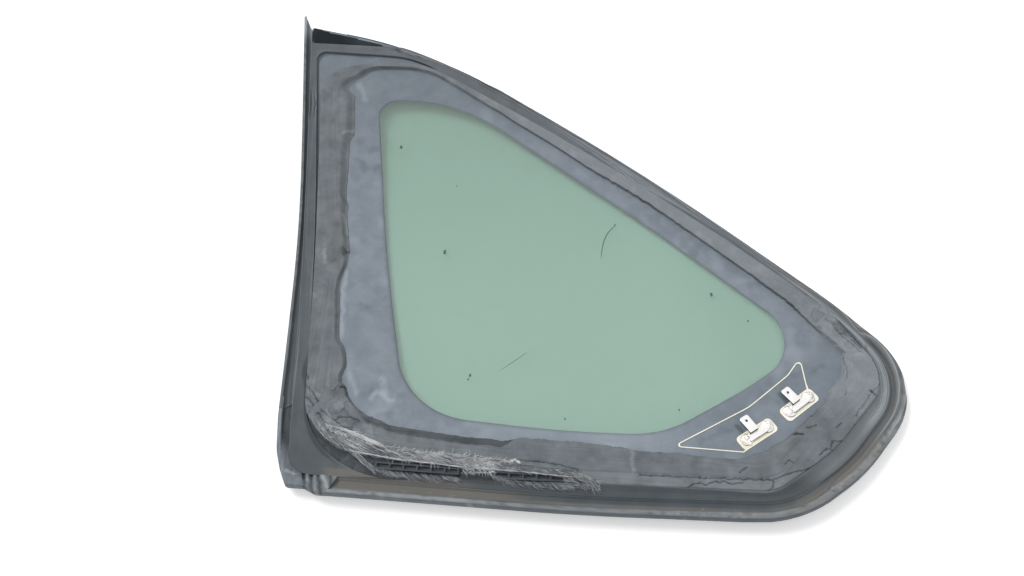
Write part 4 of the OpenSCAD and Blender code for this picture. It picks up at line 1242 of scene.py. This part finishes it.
# Groups of torn hairs, placed between two lines of the photograph's pixels, a and b. Turn
# is measured from the line, downwards in the picture; lengths are pixels, high is in
# millimetres over the border at either line, thick is a radius in millimetres, and the
# bend's middle value and spread are shares of the length. Pale is the least and the most
# of the light mark and its power; dark is the share of hairs in shade.
strandKeys = "count", "a", "b", "turn", "length", "thick", "pale", "dark", "high", "tufts", "bend"
strandGroups = [
    [1000,
     [[324, 421], [345, 429], [364, 437], [390, 447], [417, 451], [444, 453], [480, 457], [520, 462]],
     [[326, 435], [350, 447], [364, 451], [390, 457], [417, 461], [444, 464], [480, 467], [520, 471]],
     [-9, 12], [7, 24], [0.05, 0.12], [0, 1, 1.5], 0.7, [4.7, 3.5], 0, [0, 0.15]],
    [90, [[343, 428], [357, 433], [375, 441]], [[347, 433], [362, 439], [383, 447]], [-5, 6], [9, 22],
     [0.1, 0.2], [0.6, 1, 0.5], 0, [4.9, 4.5], 9, [0, 0.12]],
    [150, [[325, 423], [334, 428], [345, 433]], [[325, 428], [337, 434], [347, 439]], [-30, 40], [3, 8],
     [0.07, 0.18], [0.2, 0.9, 1.1], 0.3, [4.8, 4.2], 7, [0, 0.5]],
    [260, [[385, 446], [417, 450], [444, 452], [480, 456], [512, 460]],
     [[385, 450], [417, 456], [444, 458], [480, 462], [512, 465]], [-70, 5], [3, 8], [0.05, 0.13],
     [0.4, 1, 0.8], 0, [4.7, 4.3], 26, [0, 0.4]],
    [420, [[385, 449], [417, 453], [444, 456], [480, 460], [500, 462]],
     [[385, 457], [417, 461], [444, 464], [480, 467], [500, 469]], [5, 45], [4, 10], [0.05, 0.12],
     [0.1, 1, 1.4], 0.5, [4.4, 3.6], 0, [0, 0.3]],
    [260, [[461, 458], [500, 462]], [[461, 473], [490, 474]], [-50, 70], [4, 10], [0.06, 0.14],
     [0.2, 1, 1.0], 0.3, [4.4, 3.3], 0, [0, 0.4]],
    [24, [[509, 459.5], [514, 458.5], [519, 461]], [[511, 462], [515, 462], [519, 463]], [-30, 20],
     [3, 5], [0.15, 0.25], [0.8, 1, 1], 0, [5.0, 4.7], 0, [0, 0.2]],
    [420, [[495, 462], [540, 467], [575, 472], [592, 477]],
     [[495, 470], [540, 474], [570, 477], [590, 480]], [-10, 30], [4, 12], [0.05, 0.12], [0, 0.7, 1.5],
     0.6, [4.3, 3.5], 0, [0, 0.3]],
    [170, [[565, 472], [590, 476], [600, 482]], [[560, 486], [580, 489], [596, 490]], [-30, 50],
     [5, 11], [0.06, 0.14], [0, 0.6, 1.3], 0.4, [4.0, 2.8], 14, [0, 0.4]],
    [70, [[480, 467.5], [520, 471], [568, 476]], [[480, 468.5], [520, 472], [568, 477]], [-1, 1],
     [8, 20], [0.08, 0.16], [0.5, 1, 1], 0, [3.6, 3.6], 0, [0, 0.1]],
    [80, [[350, 450], [390, 457.5], [458, 466]], [[350, 451], [390, 458.5], [458, 467]], [-1, 1],
     [10, 24], [0.08, 0.16], [0.5, 1, 1], 0, [3.6, 3.6], 0, [0, 0.1]],
    [360, [[364, 462], [380, 470], [400, 473], [430, 475], [458, 477]],
     [[370, 468], [390, 475], [412, 478], [436, 480], [460, 480]], [30, 60], [5, 12], [0.06, 0.14],
     [0, 0.45, 1.8], 0.5, [3.2, 2.2], 0, [-0.5, 0.2]],
    [340, [[486, 472], [505, 479], [530, 482], [560, 484.5], [590, 483]],
     [[492, 477], [512, 484], [535, 487], [562, 488], [592, 487]], [25, 58], [5, 12], [0.06, 0.14],
     [0, 0.45, 1.8], 0.5, [3.2, 2.4], 0, [-0.5, 0.2]],
    [12, [[388, 457], [430, 463], [452, 466]], [[388, 458], [430, 464], [452, 467]], [72, 96], [5, 9],
     [0.06, 0.11], [0.3, 0.8, 1], 0, [3.8, 3.4], 0, [0, 0.3]],
    [300, [[318, 424], [330, 431], [345, 438]], [[322, 435], [335, 444], [350, 452]], [0, 25], [4, 9],
     [0.07, 0.16], [0, 0.7, 1.3], 0.6, [4.4, 3.0], 0, [0, 0.4]],
    [200, [[345, 444], [356, 452], [368, 462]], [[347, 450], [360, 461], [374, 473]], [-6, 8], [8, 18],
     [0.06, 0.16], [0, 0.6, 1.2], 0.6, [3.8, 3.2], 0, [0, 0.15]]]

# Locks are the cells, along and across a group, whose hairs share their tone.
strandShape = {"rings": 5, "sides": 3, "taper": 0.85, "arch": 0.25, "locks": [70, 4],
               "start": 0.3, "ahead": 0.05}


def buildStrands():
    # tapered three-sided hairs: each starts between its group's two lines, runs at a
    # turn from them and bends as the square of the way along it; those of one lock
    # share most of their tone
    draw = np.random.default_rng(71)
    k, sides = strandShape["rings"], strandShape["sides"]
    f = np.linspace(0, 1, k)[None]
    allPoints, pale, dark = [], [], []
    for row in strandGroups:
        group = dict(zip(strandKeys, row))
        n = group["count"]
        a, b = np.array(group["a"], float), np.array(group["b"], float)
        u, v = draw.uniform(0, 1, n), draw.uniform(0, 1, n)
        if group["tufts"]:
            u = (np.floor(u * group["tufts"]) + 0.5 + draw.normal(0, 0.16, n)) / group["tufts"]
        onA, onB = readAt(a, even(a), u), readAt(b, even(b), u)
        ahead = (readAt(a, even(a), np.minimum(u + strandShape["ahead"], 1))
                 - readAt(a, even(a), np.maximum(u - strandShape["ahead"], 0)))
        angle = np.arctan2(ahead[:, 1], ahead[:, 0]) + np.radians(draw.uniform(*group["turn"], n))
        length = draw.uniform(*group["length"], n)
        curl = draw.normal(*group["bend"], n) * length
        way = np.stack([np.cos(angle), np.sin(angle)], -1)
        side = np.stack([-way[:, 1], way[:, 0]], -1)
        past = f - strandShape["start"]
        pixels = (onA * (1 - v[:, None]) + onB * v[:, None])[:, None] + (
            way[:, None] * (length[:, None] * past)[..., None]
            + side[:, None] * (curl[:, None] * past ** 2)[..., None])
        high = group["high"][0] * (1 - v) + group["high"][1] * v + draw.uniform(-0.15, 0.35, n)
        arch = strandShape["arch"] * np.sin(f * math.pi) * draw.uniform(0, 1, n)[:, None]
        h = borderHeight + high[:, None] + arch
        centre = seenAt(pixels.reshape(-1, 2), h.ravel()).reshape(n, k, 3)
        thick = draw.uniform(*group["thick"], n)[:, None] * (
            1 - strandShape["taper"] * abs(2 * f - 1) ** 2)
        allPoints.append(threads(centre, thick, sides, 0.5).reshape(-1, 3))
        least, most, bend = group["pale"]
        p, q = strandShape["locks"]
        lock = np.floor(u * p).astype(int) % p * q + np.floor(v * q).astype(int) % q
        tone = 0.6 * draw.uniform(0, 1, p * q)[lock] + 0.4 * draw.uniform(0, 1, n)
        lit = least + (most - least) * np.clip(tone * 1.5 - 0.25, 0, 1) ** bend
        pale.append(np.repeat(lit, k * sides))
        dark.append(np.repeat((draw.uniform(0, 1, n) < group["dark"]) * (lit < 0.5)
                              * draw.uniform(0.3, 0.9, n), k * sides))
    points = np.concatenate(allPoints)
    first = np.arange(len(points) // (k * sides))[:, None] * k * sides
    quads = (np.array(gridFaces(k, sides, False, True)) + first[:, :, None]).reshape(-1, 4)
    caps = np.concatenate([first + np.arange(sides), first + k * sides - 1 - np.arange(sides)])
    marks = {"scuff": np.concatenate(pale), "shade": np.concatenate(dark), "dust": points[:, 0] * 0}
    piece = addPiece("tornStrands", points, quads.tolist() + caps.tolist(), strandMade, marks)


buildStrands()
print("cells and strands ready")


# Each pad's place and turn; the two feet of a contact stand "apart" on it, "aside" from
# its middle line. Faces whose normal is less "upright" than that are the stamped sides,
# painted nearly black as shade.
pads = {"lower": [103.5, -134.3, 34], "upper": [132, -113.7, 38.5]}
contact = {"apart": 16.5, "film": 0.02, "aside": 0.6, "bevel": 0.18, "upright": 0.45}
solder = {"radius": 4.9, "rise": 2.2, "around": 60, "rings": 16,
          "seeds": {"lower": 81, "upper": 91}}


def onPad(points, pad):
    # turns points about the pad's own upright, tips them to the bend and sets them there
    base = borderHeight + pane["print"] + contact["film"]
    turn = math.radians(pad[2])
    tip = math.asin((pad[1] - pane["lowLineY"]) / (pane["bendRadius"] - base))
    x = points[..., 0] * math.cos(turn) - points[..., 1] * math.sin(turn)
    y = points[..., 0] * math.sin(turn) + points[..., 1] * math.cos(turn)
    z = points[..., 2]
    return np.stack([pad[0] + x, pad[1] + y * math.cos(tip) - z * math.sin(tip),
                     float(skin(pad[1], base)) + y * math.sin(tip) + z * math.cos(tip)], -1)


def buildSolder(name, node, pad, seed):
    # two low domes round the feet: the rim wanders with the angle, and the height falls
    # as the root of what is left to the rim
    angle = np.arange(solder["around"])[:, None] * 2 * math.pi / solder["around"]
    share = np.linspace(1, 0, solder["rings"])[None]
    domes = []
    for k, side in enumerate((-1, 1)):
        wander = (0.9 + 0.13 * softNoise(angle * 4 / math.pi, angle * 0, seed + k, 8)
                  + 0.07 * softNoise(angle * 9 / math.pi, angle * 0, seed + 3 + k, 18))
        radius = solder["radius"] * wander * share
        x, y = radius * np.cos(angle), radius * np.sin(angle)
        lumpy = 1 + (0.3 * softNoise(x / 1.5 + 9, y / 1.5 + 9, seed + 7 + k)
                     + 0.15 * softNoise(x / 0.6 + 9, y / 0.6 + 9, seed + 8 + k)) * ease(
                         (1 - share) * 4)
        z = solder["rise"] * (1 - share ** 2.2) ** 0.7 * lumpy
        domes.append(onPad(np.stack([x + side * contact["apart"] / 2, y + contact["aside"], z],
                                    -1), pad))
    piece = addDomes(name, domes, solderMade)
    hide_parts(node)


for place, pad in pads.items():
    tab = bevelled(cadCopy("terminal_" + place, "contact" + place.title()), contact["bevel"], 3)
    tab.data.materials.append(bladeMade)
    tab.data.materials.append(bladeEdgeShadeMade)
    normals = np.zeros(len(tab.data.polygons) * 3, np.float32)
    tab.data.polygons.foreach_get("normal", normals)
    shadedSides = abs(normals.reshape(-1, 3)[:, 2]) < contact["upright"]
    tab.data.polygons.foreach_set("material_index", shadedSides.astype(np.int32))
    buildSolder("solder" + place.title(), "solder_" + place, pad, solder["seeds"][place])

silver = {"route": [[94, -146.8], [51, -142.8], [100, -115.5], [127, -92.5], [136, -80],
                    [137.8, -98], [139, -105]], "halfLine": 1.2, "thinner": 0.36, "padReach": 14}


def buildSilver():
    # the node's own mesh, with the printed line drawn in to its real width: each point
    # near the route, away from the pads, moves towards it by a fixed share
    piece = cadCopy("silver_print", "silverPrint")
    place = np.zeros(len(piece.data.vertices) * 3, np.float32)
    piece.data.vertices.foreach_get("co", place)
    place = place.reshape(-1, 3) / mm
    xy = place[:, :2]
    route = np.array(silver["route"], float)
    nearest, best = xy.copy(), np.full(len(xy), 1e9)
    for a, b in zip(route[:-1], route[1:]):
        f = np.clip(((xy - a) @ (b - a)) / ((b - a) @ (b - a)), 0, 1)
        on = a + f[:, None] * (b - a)
        away = np.linalg.norm(xy - on, axis=1)
        nearest, best = np.where((away < best)[:, None], on, nearest), np.minimum(away, best)
    clear = np.min([np.linalg.norm(xy - np.array(pad[:2]), axis=1) for pad in pads.values()], axis=0)
    drawn = (best < silver["halfLine"]) & (clear > silver["padReach"])
    place[drawn, :2] += (nearest - xy)[drawn] * silver["thinner"]
    piece.data.vertices.foreach_set("co", (place * mm).ravel())
    piece.data.materials.append(silverMade)


buildSilver()
print("contacts ready")


# Specks give a place and a radius; crumb is the points round a speck and its rings.
dirt = {"hair": [[601, 258], [602, 250], [604, 241], [608, 233], [616, 225]],
        "faint": [[500, 370], [510, 364], [520, 357], [528, 352]],
        "specks": [[401, 147, 1.0], [445, 252, 1.1], [457, 186, 0.6], [470, 375, 0.8],
                   [468, 379, 0.6], [711, 295, 1.1], [748, 321, 0.6], [679, 410, 0.6],
                   [565, 419, 0.5], [449, 225, 0.4], [705, 376, 0.35], [742, 377, 0.35],
                   [615, 225, 0.7]], "rings": 40, "sides": 6, "crumb": [14, 5]}


def buildHair(name, pixels, radius):
    # round thread swept along a curve through the seen points, lying on the glass
    path = seenAt(pixels, pane["thickness"] + radius)
    f = np.linspace(0, 1, dirt["rings"])
    fit = [np.polyval(np.polyfit(even(path), path[:, k], 3), f) for k in range(2)]
    centre = onPane(np.stack(fit, -1), pane["thickness"] + radius)
    thick = radius * (0.35 + 0.65 * np.sin(f * math.pi) ** 0.5)
    addPiece(name, threads(centre, thick, dirt["sides"]), tubeFaces(dirt["rings"], dirt["sides"]),
             dirtMade)


def buildSpecks():
    # flat crumbs: half spheres pressed down, with a rim that wanders
    around, rings = dirt["crumb"]
    angle = np.arange(around)[:, None] * 2 * math.pi / around
    share = np.linspace(1, 0, rings)[None]
    crumbs = []
    for k, (px, py, size) in enumerate(dirt["specks"]):
        middle = seenAt([[px, py]], pane["thickness"])[0]
        radius = size * (1 + 0.5 * softNoise(angle * 3 / math.pi, angle * 0, 101 + k, 6)) * share
        x = middle[0] + radius * np.cos(angle) * 0.8
        y = middle[1] + radius * np.sin(angle) * 1.4
        h = pane["thickness"] + 0.3 * size * np.sqrt(1 - share ** 2) + 0 * x
        crumbs.append(onPane(np.stack([x, y], -1), h))
    addDomes("glassSpecks", crumbs, dirtMade)


buildHair("glassHair", dirt["hair"], 0.3)
buildHair("glassFaintLine", dirt["faint"], 0.16)
buildSpecks()
print("dirt ready")


# Key is the lamp's strength, soft its angle in degrees; table is the glow of the floor.
light = {"world": 0.66, "key": 1.35, "soft": 26, "keyPlace": [-0.9, 0.55, 1.5],
         "table": 0.3, "tableReach": 3, "tableZ": -0.0002}


def buildStage():
    mesh = bpy.data.meshes.new("floor")
    far = light["tableReach"]
    corners = [(-far, -far), (far, -far), (far, far), (-far, far)]
    mesh.from_pydata([(x, y, light["tableZ"]) for x, y in corners], [], [(0, 1, 2, 3)])
    floor = linked("floor", mesh)
    material, tree = newMaterial("paleFloor")
    shader = addNode(tree, "ShaderNodeBsdfPrincipled", {
        "Base Color": linear("FFFFFF"), "Roughness": 0.9, "Specular IOR Level": 0.0,
        "Emission Color": linear("FFFFFF"), "Emission Strength": light["table"]})
    addNode(tree, "ShaderNodeOutputMaterial", None, {"Surface": shader.outputs[0]})
    mesh.materials.append(material)


def buildLight():
    # white to the camera, in reflections and through the glass, dimmer as it lights
    world = bpy.data.worlds.new("studio")
    bpy.context.scene.world = world
    world.use_nodes = True
    tree = world.node_tree
    tree.nodes.clear()
    path = addNode(tree, "ShaderNodeLightPath")
    direct = addNode(tree, "ShaderNodeMath", {"operation": "MAXIMUM"},
                     {0: path.outputs["Is Camera Ray"], 1: path.outputs["Is Glossy Ray"]})
    direct = addNode(tree, "ShaderNodeMath", {"operation": "MAXIMUM"},
                     {0: direct.outputs[0], 1: path.outputs["Is Transmission Ray"]})
    soft = addNode(tree, "ShaderNodeBackground", {"Color": (1, 1, 1, 1), "Strength": light["world"]})
    white = addNode(tree, "ShaderNodeBackground", {"Color": (1, 1, 1, 1), "Strength": 1.0})
    mixed = addNode(tree, "ShaderNodeMixShader", None,
                    {0: direct.outputs[0], 1: soft.outputs[0], 2: white.outputs[0]})
    addNode(tree, "ShaderNodeOutputWorld", None, {"Surface": mixed.outputs[0]})
    key = linked("key", bpy.data.lights.new("key", "SUN"))
    key.data.energy = light["key"]
    key.data.angle = math.radians(light["soft"])
    key.location = light["keyPlace"]
    key.rotation_euler = (-Vector(light["keyPlace"])).to_track_quat("-Z", "Y").to_euler()


def buildCamera():
    camera = linked("camera", bpy.data.cameras.new("camera"))
    camera.data.lens = photo["lens"]
    camera.data.sensor_width = photo["sensor"]
    camera.data.clip_start = 0.01
    camera.location = Vector(cameraRays([[0, 0]])[0] * mm)
    camera.rotation_euler = (math.radians(90 - photo["elevation"]), 0, 0)
    bpy.context.scene.camera = camera


buildStage()
buildLight()
buildCamera()
bpy.context.scene.view_settings.view_transform = "Standard"
print("stage ready")
